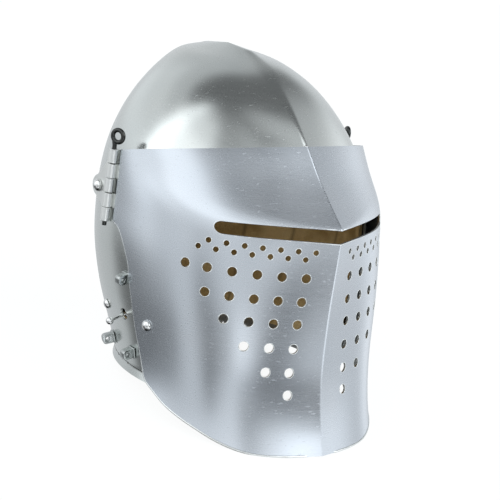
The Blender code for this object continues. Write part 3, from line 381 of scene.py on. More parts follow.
def cut(obj, tools):
    for tool, operation in tools:
        modifier = obj.modifiers.new(tool.name, "BOOLEAN")
        modifier.operation = operation
        modifier.solver = "EXACT"
        modifier.object = tool
    made = evaluated(obj, obj.name + "_cut")
    for tool, _ in tools:
        bpy.data.objects.remove(tool, do_unlink=True)
    return made


facingCosine = 0.75  # a face that looks more along the sheet than this is a cut edge
cornerInset = 0.00015  # corners are looked up this far inside their face, in metres


# Gives a cut shell the smooth surface's normals, and its cut edges a paler material of their own: a painted
# highlight along the edges
def dressShell(obj, name, surface, outside):
    mesh = obj.data
    obj.name = name
    mesh.name = name
    mesh.materials.clear()
    for material in (outside, "cutEdgeHighlightSteel", "insideSteel"):
        mesh.materials.append(steels[material])
    normals = [Vector((0, 0, 1))] * len(mesh.loops)
    for face in mesh.polygons:
        face.use_smooth = True
        _, across = surface.nearest(face.center)
        facing = face.normal.dot(across)
        face.material_index = 0 if facing > facingCosine else 2 if facing < -facingCosine else 1
        for loop in face.loop_indices:
            if face.material_index == 1:
                normals[loop] = face.normal.copy()
                continue
            point = mesh.vertices[mesh.loops[loop].vertex_index].co
            inset = point + (face.center - point).normalized() * cornerInset
            _, normal = surface.nearest(inset)
            normals[loop] = normal if facing > 0 else -normal
    mesh.normals_split_custom_set(normals)
    obj.matrix_world = helmetFrame


# A colour written as an sRGB hex code, turned linear
def linearColor(code):
    channels = [int(code[k:k + 2], 16) / 255 for k in (0, 2, 4)]
    return [c / 12.92 if c <= 0.04045 else ((c + 0.055) / 1.055) ** 2.4 for c in channels] + [1]


# A node with its settings, and values or sockets for its inputs
def addNode(tree, kind, settings=None, inputs=None):
    node = tree.nodes.new(kind)
    for name, value in (settings or {}).items():
        setattr(node, name, value)
    for key, value in (inputs or {}).items():
        if isinstance(value, bpy.types.NodeSocket):
            tree.links.new(value, node.inputs[key])
        else:
            node.inputs[key].default_value = value
    return node


def emptyTree(owner):
    owner.use_nodes = True
    owner.node_tree.nodes.clear()
    return owner.node_tree


def scaleFor(size):
    return 1 / (size * mm)  # a pattern's scale from its real size in mm


# Hair scratches: their way, length and width in mm, how few of them there are, and how rough they are
hairs = {"turn": (0.4, 0.9, 0.5), "size": (28.57, 1.111, 1.111), "from": 0.74, "to": 0.80, "rough": 0.12}


# Worked steel: polishing lines, a slow unevenness of the sheen, hammer traces and hair scratches
def steelMaterial(name, look):
    material = bpy.data.materials.new(name)
    tree = emptyTree(material)
    place = addNode(tree, "ShaderNodeTexCoord").outputs["Object"]
    stretched = addNode(tree, "ShaderNodeMapping", inputs={
        "Vector": place, "Scale": [scaleFor(size) for size in look["lineSize"]]})
    lines = addNode(tree, "ShaderNodeTexNoise", inputs={"Vector": stretched.outputs[0], "Scale": 1.0,
                                                        "Detail": 3.0, "Roughness": 0.6})
    cloud = addNode(tree, "ShaderNodeTexNoise", inputs={
        "Vector": place, "Scale": scaleFor(look["cloudSize"]), "Detail": 4.0, "Roughness": 0.55})
    dents = addNode(tree, "ShaderNodeTexNoise", inputs={
        "Vector": place, "Scale": scaleFor(look["dentSize"]), "Detail": 1.0})
    tilted = addNode(tree, "ShaderNodeMapping", inputs={
        "Vector": place, "Rotation": hairs["turn"], "Scale": [scaleFor(size) for size in hairs["size"]]})
    marks = addNode(tree, "ShaderNodeTexNoise", inputs={
        "Vector": tilted.outputs[0], "Scale": 1.0, "Detail": 0.0})
    scratch = addNode(tree, "ShaderNodeMapRange", inputs={
        "Value": marks.outputs["Fac"], "From Min": hairs["from"], "From Max": hairs["to"]})
    both = addNode(tree, "ShaderNodeMath", {"operation": "ADD"}, {
        0: cloud.outputs["Fac"], 1: lines.outputs["Fac"]})
    sheen = addNode(tree, "ShaderNodeMapRange", inputs={
        "Value": both.outputs[0], "From Min": 0.6, "From Max": 1.4,
        "To Min": look["roughLow"], "To Max": look["roughHigh"]})
    worn = addNode(tree, "ShaderNodeMath", {"operation": "MULTIPLY_ADD"}, {
        0: scratch.outputs[0], 1: hairs["rough"], 2: sheen.outputs[0]})
    tint = addNode(tree, "ShaderNodeMix", {"data_type": "RGBA"}, {
        "Factor": cloud.outputs["Fac"], "A": linearColor(look["cool"]), "B": linearColor(look["warm"])})
    fine = addNode(tree, "ShaderNodeBump", inputs={
        "Height": lines.outputs["Fac"], "Strength": look["lineDepth"], "Distance": 0.1 * mm})
    slow = addNode(tree, "ShaderNodeBump", inputs={
        "Height": dents.outputs["Fac"], "Strength": look["dentDepth"], "Distance": 1 * mm,
        "Normal": fine.outputs[0]})
    shader = addNode(tree, "ShaderNodeBsdfPrincipled", inputs={
        "Base Color": tint.outputs["Result"], "Metallic": 1.0, "Roughness": worn.outputs[0],
        "Anisotropic": look["anisotropy"], "Normal": slow.outputs[0]})
    addNode(tree, "ShaderNodeOutputMaterial", inputs={"Surface": shader.outputs[0]})
    return material


# Sizes of the patterns are in mm. Real polishing and brushing lines are a tenth of these, too fine to show,
# so they are drawn this coarse.
steelLooks = {
    # Mirror-like skull that shows soft shapes of the room
    "polishedSteel": {"cool": "C6CCCB", "warm": "CFD2CE", "roughLow": 0.17, "roughHigh": 0.25,
                      "lineSize": (25, 25, 0.625), "lineDepth": 0.02, "cloudSize": 55.56, "dentSize": 45.45,
                      "dentDepth": 0.10, "anisotropy": 0.15},
    # Finely brushed visor, bluish and flatter than the skull
    "brushedSteel": {"cool": "BFC7CE", "warm": "C8CCD0", "roughLow": 0.22, "roughHigh": 0.31,
                     "lineSize": (16.67, 16.67, 0.3846), "lineDepth": 0.012, "cloudSize": 71.43,
                     "dentSize": 55.56, "dentDepth": 0.10, "anisotropy": 0.2},
    # Pale cut edges of the sheet: the paleness is a painted highlight
    "cutEdgeHighlightSteel": {"cool": "E2E6E6", "warm": "DADCD8", "roughLow": 0.30, "roughHigh": 0.42,
                     "lineSize": (1.111, 1.111, 1.111), "lineDepth": 0.10, "cloudSize": 8.333,
                     "dentSize": 11.11, "dentDepth": 0.05, "anisotropy": 0.0},
    # Duller unpolished inside of the sheet
    "insideSteel": {"cool": "8E9496", "warm": "96948E", "roughLow": 0.38, "roughHigh": 0.52,
                    "lineSize": (16.67, 16.67, 1.111), "lineDepth": 0.12, "cloudSize": 33.33, "dentSize": 25,
                    "dentDepth": 0.15, "anisotropy": 0.1},
    # Bright turned heads of the bolts, rivets and catch
    "rivetSteel": {"cool": "D5D8D8", "warm": "DDDDD9", "roughLow": 0.12, "roughHigh": 0.20,
                   "lineSize": (2, 2, 2), "lineDepth": 0.05, "cloudSize": 11.11, "dentSize": 8.333,
                   "dentDepth": 0.04, "anisotropy": 0.0},
    # Light knuckles and leaves of the hinges
    "hingeSteel": {"cool": "DDE1E0", "warm": "E4E5E1", "roughLow": 0.34, "roughHigh": 0.46,
                   "lineSize": (1.111, 1.111, 6.667), "lineDepth": 0.04, "cloudSize": 16.67, "dentSize": 12.5,
                   "dentDepth": 0.05, "anisotropy": 0.0},
    # Plain lugs, greyer than the rivets
    "lugSteel": {"cool": "A9AFAF", "warm": "B4B7B4", "roughLow": 0.22, "roughHigh": 0.36,
                 "lineSize": (2, 2, 2), "lineDepth": 0.05, "cloudSize": 8.333, "dentSize": 6.667,
                 "dentDepth": 0.05, "anisotropy": 0.0},
    # Oil-blackened pins
    "blackenedSteel": {"cool": "3A3E40", "warm": "4A4A46", "roughLow": 0.12, "roughHigh": 0.24,
                       "lineSize": (2.5, 2.5, 2.5), "lineDepth": 0.06, "cloudSize": 6.667, "dentSize": 5,
                       "dentDepth": 0.08, "anisotropy": 0.0},
}
steels = {name: steelMaterial(name, look) for name, look in steelLooks.items()}


# Sewn leather: pebbled grain, darker rubbed patches and a soft low sheen
def leatherMaterial(name, look):
    material = bpy.data.materials.new(name)
    tree = emptyTree(material)
    place = addNode(tree, "ShaderNodeTexCoord").outputs["Object"]
    grain = addNode(tree, "ShaderNodeTexVoronoi", inputs={
        "Vector": place, "Scale": scaleFor(look["grainSize"])})
    patches = addNode(tree, "ShaderNodeTexNoise", inputs={
        "Vector": place, "Scale": scaleFor(look["patchSize"]), "Detail": 5.0})
    parts = addNode(tree, "ShaderNodeSeparateXYZ", inputs={0: place})
    behind = addNode(tree, "ShaderNodeMath", {"operation": "SUBTRACT"}, {
        0: parts.outputs["Y"], 1: look["middle"] * mm})
    around = addNode(tree, "ShaderNodeMath", {"operation": "ARCTAN2"}, {
        0: parts.outputs["X"], 1: behind.outputs[0]})
    gore = addNode(tree, "ShaderNodeMath", {"operation": "MULTIPLY"}, {
        0: around.outputs[0], 1: look["gores"] / math.pi / 2})
    fromSeam = addNode(tree, "ShaderNodeMath", {"operation": "PINGPONG"}, {0: gore.outputs[0], 1: 0.5})
    seam = addNode(tree, "ShaderNodeMapRange", inputs={
        "Value": fromSeam.outputs[0], "From Max": look["seamShare"],
        "To Min": look["seamDark"], "To Max": 0.0})
    puff = addNode(tree, "ShaderNodeMapRange", {"interpolation_type": "SMOOTHSTEP"}, {
        "Value": fromSeam.outputs[0], "From Max": look["puffShare"]})
    rubbed = addNode(tree, "ShaderNodeMapRange", inputs={
        "Value": patches.outputs["Fac"], "From Min": 0.38, "From Max": 0.62})
    worn = addNode(tree, "ShaderNodeMix", {"data_type": "RGBA"}, {
        "Factor": rubbed.outputs[0], "A": linearColor(look["dark"]), "B": linearColor(look["light"])})
    tint = addNode(tree, "ShaderNodeMix", {"data_type": "RGBA"}, {
        "Factor": seam.outputs[0], "A": worn.outputs["Result"], "B": linearColor(look["stitch"])})
    dull = addNode(tree, "ShaderNodeMapRange", inputs={
        "Value": patches.outputs["Fac"], "To Min": look["roughLow"], "To Max": look["roughHigh"]})
    sewn = addNode(tree, "ShaderNodeBump", inputs={
        "Height": puff.outputs[0], "Strength": look["puffDepth"], "Distance": 3 * mm})
    bump = addNode(tree, "ShaderNodeBump", inputs={
        "Height": grain.outputs["Distance"], "Strength": look["grainDepth"], "Distance": 0.5 * mm,
        "Normal": sewn.outputs[0]})
    shader = addNode(tree, "ShaderNodeBsdfPrincipled", inputs={
        "Base Color": tint.outputs["Result"], "Roughness": dull.outputs[0], "Normal": bump.outputs[0]})
    addNode(tree, "ShaderNodeOutputMaterial", inputs={"Surface": shader.outputs[0]})
    return material


# Tanned leather, matt and warm, that shows as brown behind the sight and the breaths
liningLeather = leatherMaterial("liningLeather", {
    "dark": "9E8350", "light": "C8AF7D", "stitch": "4A3A1E", "roughLow": 0.55, "roughHigh": 0.8,
    "grainSize": 1.4286, "grainDepth": 0.4, "patchSize": 25,
    "gores": 14, "middle": 20.0, "seamShare": 0.06, "seamDark": 0.55, "puffShare": 0.25, "puffDepth": 0.6,
})

print("materials made")

# Skull
skull = {"softCrown": 14.0, "crispBrow": 1.6, "browHeight": 157.0, "cheekEdge": 50.0, "lacePitch": 9.5,
         "laceHole": 1.0, "catchHole": 4.5, "catchRivetHole": 1.7, "pivotHole": 2.4}


def skullRounding(place):
    return lerp(skull["crispBrow"], skull["softCrown"], smoothStep(-0.075, 0.03, place.y)) * mm


skullGrid = skullHalf(8, 44, 40)
creaseRing = skullGrid[-1 - len(rimDrops)]
skullSurface = HalfSurface([skullGrid], skullRounding)


# Side view of the face opening's edge in metres, from the brow down the cheek to the rim
def cheekEdge(setback, foot):
    edge, brow, before = skull["cheekEdge"], skull["browHeight"], -sizes["skullFront"] - 30
    behind, above = sizes["skullBack"] + 50, sizes["skullHeight"] + 50
    points = [(before, brow + setback), (-edge - 22 + setback, brow + setback)]
    for forward, height in ((1.10, 0.960), (0.97, 0.860), (0.95, 0.700), (0.98, 0.380), (1.08, 0.150),
                            (1.18, 0.000)):
        points.append((-forward * edge + setback, max(height * brow, foot)))
    points += [(behind, foot), (behind, above), (before, above)]
    return [(y * mm, z * mm) for y, z in points]


# Rods through the crease where the lacing holes go
def laceHoles():
    bm = bmesh.new()
    pitch = skull["lacePitch"] * mm
    lengths = [(b - a).length for a, b in zip(creaseRing, creaseRing[1:])]
    start = sum(length for length, point in zip(lengths, creaseRing) if point.y < -skull["cheekEdge"] * mm)
    for index in range(int((sum(lengths) - start - pitch) / pitch)):
        distance = sum(lengths) - pitch * (index + 0.5)
        for a, b in zip(creaseRing, creaseRing[1:]):
            if distance <= (b - a).length:
                break
            distance -= (b - a).length
        point = a.lerp(b, distance / (b - a).length)
        outward = Vector((b.y - a.y, a.x - b.x, 0)).normalized()
        for side in (-1, 1):
            middle, way = onSide(point, side), onSide(outward, side)
            addRod(bm, middle - way * 0.005, middle + way * 0.005, skull["laceHole"] * mm, 12)
    return bm


def makeSkull():
    crown = Vector((0, sizes["crownBack"], sizes["skullHeight"])) * mm
    shell = meshObject("skull_raw", loft(skullGrid, True, crown))
    thicken(shell, sizes["sheet"], True)
    holes = laceHoles()
    inward, outward = 0.006, 0.004  # how far a hole's rod runs from the surface, in metres
    for y, z, radius in ((-sizes["catchForward"], sizes["catchHeight"], skull["catchHole"]),
                         (sizes["catchRivetBack"], sizes["catchRivetHeight"], skull["catchRivetHole"])):
        point, normal = skullSurface.atSide(y * mm, z * mm, -1)
        addRod(holes, point - normal * inward, point + normal * outward, radius * mm, 32)
    for side in (-1, 1):
        point, _ = skullSurface.atSide(sizes["pivotBack"] * mm, sizes["pivotHeight"] * mm, side)
        addRod(holes, point - Vector((side * inward, 0, 0)), point + Vector((side * outward, 0, 0)),
               skull["pivotHole"] * mm, 24)
    shell = cut(shell, [(extruded("skull_outline", cheekEdge(0, 0), "X", -farOut, farOut), "INTERSECT"),
                        (meshObject("skull_holes", holes), "DIFFERENCE")])
    dressShell(shell, "skull_shell", skullSurface, "polishedSteel")
    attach(shell, "helmet")
    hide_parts("skull")


makeSkull()
print("skull made")

# Visor
visor = {"ridgeSoft": 1.1, "bendCrisp": 1.2, "bendSoft": 13.0, "rearY": 12.35, "sightHeight": 136.7,
         "sightTall": 10.0, "sightEndTall": 8.8, "sightHalf": 79.0, "sightEndDrop": 2.6,
         "hingeBack": 17.5, "hingeSide": 110.85, "hingeFoot": 112.5, "knuckle": 11.0, "knuckleWide": 7.5,
         "knuckleGap": 0.35, "tabPast": 1.5, "tabThick": 1.5, "tabUnder": 0.02, "pinHole": 4.0,
         "smallBreath": 2.1, "largeBreath": 3.5}
knuckleCount, visorKnuckles = 5, (1, 3)  # counted from the top; the others belong to the arms
# Rows of breaths: height, distance of the first from the ridge, pitch, count on each side
smallBreaths = ((124.0, 17.5, 13.1, 7), (118.4, 24.5, 13.1, 7))
largeBreaths = ((104.6, 22.0, 18.2, 5), (87.0, 23.0, 17.9, 5), (70.2, 24.0, 18.4, 4), (52.2, 25.0, 18.8, 3),
                (34.4, 26.5, 18.4, 2), (18.2, 27.0, 18.4, 1), (104.6, 111.5, 0, 1))

visorUpper, visorLower = visorHalf(12, 10, 60)


# Rounds the bend over the sight: tight at the ridge, wide at the temples
def softenBend(rings, crisp, soft):
    columns = [[ring[j] for ring in rings] for j in range(len(rings[0]))]
    rounded = [list(column) for column in columns]
    taps = 6
    for j, column in enumerate(columns):
        lengths = [0]
        for a, b in zip(column, column[1:]):
            lengths.append(lengths[-1] + (b - a).length)
        reach = lerp(crisp, soft, smoothStep(0.004, 0.07, column[0].x)) * mm
        for i in range(1, len(column) - 1):
            window = min(reach, lengths[i], lengths[-1] - lengths[i])
            total, weight = Vector(), 0
            for tap in range(-taps, taps + 1):
                place = lengths[i] + window * tap / taps
                k = next((n for n in range(1, len(column)) if lengths[n] > place), len(column) - 1)
                share = (place - lengths[k - 1]) / (lengths[k] - lengths[k - 1])
                total += column[k - 1].lerp(column[k], share) * (taps + 1 - abs(tap))
                weight += taps + 1 - abs(tap)
            rounded[j][i] = total / weight
    return [[column[i] for column in rounded] for i in range(len(rings))]


visorGrid = softenBend(visorUpper[:-1] + visorLower, visor["bendCrisp"], visor["bendSoft"])
visorLower = visorGrid[len(visorUpper) - 1:]
visorSurface = HalfSurface([visorGrid], lambda place: visor["ridgeSoft"] * mm)


# The +X point of the lower visor at a height, a distance round it from its ridge
def levelPoint(rings, distance, height):
    for upper, lower in zip(rings, rings[1:]):
        if upper[0].z >= height >= lower[0].z:
            break
    share = (upper[0].z - height) / (upper[0].z - lower[0].z)
    line = [a.lerp(b, share) for a, b in zip(upper, lower)]
    for a, b in zip(line, line[1:]):
        if distance <= (b - a).length:
            break
        distance -= (b - a).length
    return visorSurface.nearest(a.lerp(b, distance / (b - a).length))


# Middle, outward way and radius of every breath, in metres
def breathPlaces():
    places = []
    for rows, radius in ((smallBreaths, visor["smallBreath"]), (largeBreaths, visor["largeBreath"])):
        for height, first, pitch, count in rows:
            for index in range(count):
                point, normal = levelPoint(visorLower, (first + pitch * index) * mm, height * mm)
                for side in (-1, 1):
                    places.append((onSide(point, side), onSide(normal, side), radius * mm))
    return places


def breathRods():
    bm = bmesh.new()
    for middle, way, radius in breathPlaces():
        addRod(bm, middle - way * 0.005, middle + way * 0.003, radius, 28)
    return meshObject("breath_rods", bm)


# The slot seen from the front, in mm: it drops a little towards its rounded ends
def sightOutline(grow=0):
    radius, half = visor["sightEndTall"] / 2 + grow, visor["sightHalf"] + grow
    upper = [(half * share, lerp(visor["sightTall"], visor["sightEndTall"], share) / 2 + grow)
             for share in (0, 0.15, 0.3, 0.45, 0.6, 0.75, 0.85)]
    for step in range(9):
        angle = math.pi / 2 * (1 - step / 8)
        upper.append((half - radius + radius * math.cos(angle), radius * math.sin(angle)))
    right = upper + [(x, -z) for x, z in reversed(upper[:-1])]
    outline = right + [(-x, z) for x, z in reversed(right[1:-1])]
    return [(x, z + visor["sightHeight"] - visor["sightEndDrop"] * (x / half) ** 2) for x, z in outline]


# Side view of the visor's edges in metres, the lower edge on a smooth curve through its places
def visorOutline():
    slope = sizes["visorTopDrop"] / (sizes["visorTopReach"] + visor["hingeBack"])
    topAtRear = sizes["visorTop"] - slope * (sizes["visorTopReach"] + visor["rearY"])
    points = [(visor["rearY"], topAtRear)]
    for index in range(len(visorEdge) - 1):
        for step in range(4):
            points.append(tuple(smoothRow(visorEdge, index + step / 4)))
    points.append(visorEdge[-1])
    beyond = 80  # the outline runs on past the plate's front
    points += [(visorEdge[-1][0] - 30, -sizes["chinDrop"]),
               (-sizes["visorTopReach"] - beyond, sizes["visorTop"] + slope * beyond)]
    return [(y * mm, z * mm) for y, z in points]


def makeVisor():
    shell = meshObject("visor_raw", loft(visorGrid, False))
    thicken(shell, sizes["sheet"], True)
    sight = extruded("sight", [(x * mm, z * mm) for x, z in sightOutline()], "Y", -0.16, -0.045)
    shell = cut(shell, [(extruded("visor_outline", visorOutline(), "X", -farOut, farOut), "INTERSECT"),
                        (sight, "DIFFERENCE"), (breathRods(), "DIFFERENCE")])
    dressShell(shell, "visor_plate", visorSurface, "brushedSteel")
    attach(shell, "visor")
    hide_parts("visor")


makeVisor()
print("visor made")


# A solid turned about its local Z from (radius, height) places in mm, top to bottom
def turned(name, profile, place, material, segments=40):
    bm = bmesh.new()
    rings = []
    for radius, height in profile:
        if radius == 0:
            rings.append([bm.verts.new((0, 0, height * mm))])
            continue
        rings.append([bm.verts.new((radius * mm * math.cos(a), radius * mm * math.sin(a), height * mm))
                      for a in circleAngles(segments)])
    for upper, lower in zip(rings, rings[1:]):
        for k in range(segments):
            n = (k + 1) % segments
            corners = (upper[k % len(upper)], lower[k % len(lower)], lower[n % len(lower)],
                       upper[n % len(upper)])
            bm.faces.new(list(dict.fromkeys(corners)))
    bmesh.ops.recalc_face_normals(bm, faces=bm.faces)
    obj = meshObject(name, bm, [material])
    shadeSmooth(obj)
    obj.matrix_world = place
    return obj


# A round wire along a path, with closed ends
def addWire(bm, path, radius, sides=16):
    rings = []
    across = Vector((1, 0, 0))
    for index, point in enumerate(path):
        along = wayAt(path, index)
        across = (across - along * across.dot(along)).normalized()
        other = along.cross(across)
        rings.append([bm.verts.new(point + (across * math.cos(a) + other * math.sin(a)) * radius)
                      for a in circleAngles(sides)])
    for upper, lower in zip(rings, rings[1:]):
        bridge(bm, upper, lower)
    bm.faces.new(rings[0])
    bm.faces.new(rings[-1])
    bmesh.ops.recalc_face_normals(bm, faces=bm.faces)


# A thin wire bent into a closed circle round a way
def addHoop(bm, middle, way, radius, wire):
    across = way.orthogonal().normalized()
    other = way.cross(across)
    rings = []
    for angle in circleAngles(28):
        outward = across * math.cos(angle) + other * math.sin(angle)
        rings.append([bm.verts.new(middle + outward * (radius + wire * math.cos(a))
                                   + way * wire * math.sin(a)) for a in circleAngles(8)])
    for here, there in zip(rings, rings[1:] + rings[:1]):
        bridge(bm, there, here)


# Filed edges: how far the rounding stands in from each edge, and its radius
filed = {"edgeIn": 0.62, "edgeRound": 0.86, "sightOut": 0.36, "sightRound": 0.5, "sightProud": 0.06,
         "breathOut": 0.22, "breathRound": 0.3}


# The middle of the sheet along a side-view line, from the right side over the ridge to the left
def edgePath(places, inward):
    halves = []
    for side in (-1, 1):
        found = []
        for y, z in places:
            hit = visorSurface.tree.ray_cast(Vector((farOut, y, z)), Vector((-1, 0, 0)))[0]
            if hit and hit.x > 0.0004:  # off the ridge itself
                point, normal = visorSurface.nearest(Vector((side * hit.x, y, z)))
                found.append(point - normal * sizes["sheet"] / 2 * mm)
        halves.append(found)
    path = halves[0] + halves[1][::-1]
    moved = []
    for index, point in enumerate(path):
        along = wayAt(path, index)
        way = inward - along * inward.dot(along)
        moved.append(point + way.normalized() * filed["edgeIn"] * mm)
    return moved


# Rounded rims on the visor's edges, its sight and its breaths, made brighter with the pale edge steel as a
# painted highlight
def makeFiledEdges():
    bm = bmesh.new()
    outline = visorOutline()
    lower = outline[1:-2]
    addWire(bm, edgePath(lower, Vector((0, -0.6, 0.8))), filed["edgeRound"] * mm, 12)
    rear, front = Vector(outline[0]), Vector(outline[-1])
    top = [tuple(rear.lerp(front, k / 60)) for k in range(61)]
    addWire(bm, edgePath(top, Vector((0, 0, -1))), filed["edgeRound"] * mm, 12)
    slot = []
    for x, z in sightOutline(filed["sightOut"]):
        hit = visorSurface.tree.ray_cast(Vector((abs(x) * mm, -farOut, z * mm)), Vector((0, 1, 0)))[0]
        if not hit:
            continue
        point, normal = visorSurface.nearest(Vector((math.copysign(hit.x, x), hit.y, hit.z)))
        slot.append(point - normal * (filed["sightRound"] - filed["sightProud"]) * mm)
    addWire(bm, slot + slot[:1], filed["sightRound"] * mm, 10)
    for middle, way, radius in breathPlaces():
        addHoop(bm, middle - way * filed["breathOut"] * mm, way, radius + filed["breathOut"] * mm,
                filed["breathRound"] * mm)
    bmesh.ops.recalc_face_normals(bm, faces=bm.faces)
    obj = meshObject("visor_filed_edges", bm, [steels["cutEdgeHighlightSteel"]])
    obj.data.shade_smooth()
    obj.matrix_world = helmetFrame
    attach(obj, "visor")


creaseShadeLine = {"frontReach": 54.0, "radius": 0.32, "sunk": 0.12, "middleForward": 15.0}


# A dark wire half sunk along the crease, from cheek to cheek, that the lacing holes stand on: painted shade
# for a line scored along the crease
def makeCreaseShade():
    crease = [point for point in creaseRing if point.y > -creaseShadeLine["frontReach"] * mm]
    path = [onSide(p, -1) for p in crease] + crease[::-1][1:]
    centre = Vector((0, -creaseShadeLine["middleForward"], sizes["stripHeight"])) * mm
    bm = bmesh.new()
    addWire(bm, [p - (p - centre).normalized() * creaseShadeLine["sunk"] * mm for p in path],
            creaseShadeLine["radius"] * mm, 8)
    # The blackened wire is painted shade, standing in for the shadow in the scored groove
    obj = meshObject("crease_shade", bm, [steels["blackenedSteel"]])
    obj.data.shade_smooth()
    obj.matrix_world = helmetFrame
    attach(obj, "helmet")


# The visor's own knuckles with the tabs that they are rolled from
def makeVisorKnuckles():
    bm = bmesh.new()
    for side in (-1, 1):
        for index in visorKnuckles:
            top = visor["hingeFoot"] + (knuckleCount - index) * visor["knuckle"]
            low = top - visor["knuckle"] + visor["knuckleGap"]
            centre = Vector((side * visor["hingeSide"], visor["hingeBack"], 0)) * mm
            addTube(bm, centre, low * mm, top * mm)
            wide, past = sizes["visorHalfWidth"], visor["tabPast"]
            back, front = visor["hingeBack"], visor["rearY"]
            inner, outer = wide - visor["tabThick"], wide - visor["tabUnder"]
            size = Vector((outer - inner, back - front + past, top - low)) * mm
            middle = Vector((side * (inner + outer) / 2, (back + front - past) / 2, (top + low) / 2)) * mm
            addBlock(bm, size, middle)
    obj = meshObject("visor_knuckles", bm, [steels["hingeSteel"]])
    shadeSmooth(obj)
    obj.matrix_world = helmetFrame
    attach(obj, "visor")


# A knuckle: a tube with a slightly eased rim at both ends
def addTube(bm, centre, low, high):
    outer, inner, ease = visor["knuckleWide"] / 2 * mm, visor["pinHole"] / 2 * mm, 0.25 * mm
    profile = [(inner, high), (outer - ease, high), (outer, high - ease), (outer, low + ease),
               (outer - ease, low), (inner, low)]
    rings = []
    for radius, height in profile:
        rings.append([bm.verts.new((centre.x + radius * math.cos(a), centre.y + radius * math.sin(a), height))
                      for a in circleAngles(40)])
    for upper, lower in zip(rings, rings[1:] + rings[:1]):
        bridge(bm, upper, lower)


makeVisorKnuckles()
makeFiledEdges()
makeCreaseShade()
print("edges made")

# Lining: a leather cap of sewn gores inside the skull
lining = {"inset": 2.3, "crownGap": 0.6, "ridgeSoft": 6.0, "wall": 2.5, "hemHeight": 14.0, "setback": 5.0,
          "window": (-13.0, 34.9, 38.0, 54.0)}  # room for the catch: y from and to, z from and to


# The skull's surface moved inwards, cut back from the face opening and above the rim
def makeLining():
    rings = skullHalf(5, 36, 36)[:-len(rimDrops)]
    surface = HalfSurface([rings], lambda place: lining["ridgeSoft"] * mm)
    inner = []
    for ring in rings:
        row = []
        for j, point in enumerate(ring):
            _, normal = surface.nearest(point)
            if j in (0, len(ring) - 1):
                normal.x = 0
            row.append(point - normal.normalized() * lining["inset"] * mm)
        inner.append(row)
    top = Vector((0, sizes["crownBack"], sizes["skullHeight"] - lining["inset"] - lining["crownGap"])) * mm
    shell = meshObject("lining_raw", loft(inner, True, top))
    thicken(shell, lining["wall"], True)
    front, back, low, high = (value * mm for value in lining["window"])
    window = [(front, low), (back, low), (back, high), (front, high)]
    outline = cheekEdge(lining["setback"], lining["hemHeight"])
    shell = cut(shell, [(extruded("lining_outline", outline, "X", -farOut, farOut), "INTERSECT"),
                        (extruded("lining_window", window, "X", -farOut, -0.05), "DIFFERENCE")])
    shell.name = "lining_cap"
    shell.data.materials.clear()
    shell.data.materials.append(liningLeather)
    shadeSmooth(shell)
    shell.matrix_world = helmetFrame
    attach(shell, "helmet")
    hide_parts("lining")


makeLining()
print("lining made")

# Hinges: a bent leaf with rolled knuckles at each temple, and a ringed pin down each hinge
hinge = {"leafFront": 106.5, "leafSide": 103.5, "bendFront": 21.3, "bendBack": 34.5, "leafEdge": 14.2,
         "leafSheet": 1.2, "leafRound": 8.0, "seam": 0.7, "notchBack": 22.3, "notchSlack": 0.3, "top": 167.5,
         "boltHead": (4.7, 3.9, 2.25, 5.0)}  # a head's radius and height, its shank's radius and depth
pin = {"wire": 3.4, "tail": 3.0, "ringHeight": 177.4, "ringRadius": 4.5, "ringLean": 1.9, "ringTurn": 67,
       "ringFrom": 232, "ringTo": -112}
headSeat = 0.3  # how far heads and lugs stand off the sheet, in mm


# One object out of several meshes in the helmet's frame
def joinShapes(name, shapes, material, sharp=40):
    bm = bmesh.new()
    for shape in shapes:
        bm.from_mesh(shape.data)
        bpy.data.objects.remove(shape, do_unlink=True)
    obj = meshObject(name, bm, [material])
    shadeSmooth(obj, sharp)
    obj.matrix_world = helmetFrame
    return obj


def makeHingeArm(side, word):
    bend = [lerp(hinge["bendFront"], hinge["bendBack"], k / 8) for k in range(9)]
    columns = [12.9, 14, 17, 20] + bend + [40, 52]
    bm = bmesh.new()
    rows = []
    for z in (105, 175):  # past the leaf at both ends; its outline is cut out below
        row = []
        for y in columns:
            bent = smoothStep(hinge["bendFront"], hinge["bendBack"], y)
            x = lerp(hinge["leafFront"], hinge["leafSide"], bent)
            row.append(bm.verts.new(Vector((side * (x + hinge["leafSheet"]), y, z)) * mm))
        rows.append(row)
    for j in range(len(columns) - 1):
        corners = (rows[0][j], rows[0][j + 1], rows[1][j + 1], rows[1][j])
        bm.faces.new(corners if side > 0 else corners[::-1])
    sheet = meshObject("leaf_raw", bm)
    thicken(sheet, hinge["leafSheet"], False)
    front, foot, top = hinge["leafEdge"], visor["hingeFoot"] + 0.3, hinge["top"]
    outline = [(front, top), (front, foot), (24.0, foot + 0.8), (28.5, foot + 4.6)]
    for step in range(25):
        angle = math.radians(lerp(-75, 70, step / 24))
        outline.append((sizes["pivotBack"] + hinge["leafRound"] * math.cos(angle),
                        sizes["pivotHeight"] + hinge["leafRound"] * math.sin(angle)))
    outline += [(30.0, top - 9.5), (24.0, top - 1.0)]
    tools = [(extruded("leaf_outline", [(y * mm, z * mm) for y, z in outline], "X", -0.2, 0.2), "INTERSECT")]
    shapes = []
    for index in range(knuckleCount):
        high = visor["hingeFoot"] + (knuckleCount - index) * visor["knuckle"]
        low = high - visor["knuckle"] + hinge["seam"]
        if index in visorKnuckles:
            under, over, back = low - hinge["seam"], high + hinge["notchSlack"], hinge["notchBack"]
            notch = [(10, under), (back, under), (back, over), (10, over)]
            tools.append((extruded(f"notch_{index}", [(y * mm, z * mm) for y, z in notch], "X", -0.2, 0.2),
                          "DIFFERENCE"))
            continue
        bm = bmesh.new()
        addTube(bm, Vector((side * visor["hingeSide"], visor["hingeBack"], 0)) * mm, low * mm, high * mm)
        shapes.append(meshObject("knuckle", bm))
    arm = joinShapes(f"hinge_leaf_{word}", [cut(sheet, tools)] + shapes, steels["hingeSteel"])
    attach(arm, "visor")
    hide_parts(f"hinge_arm_{word}")


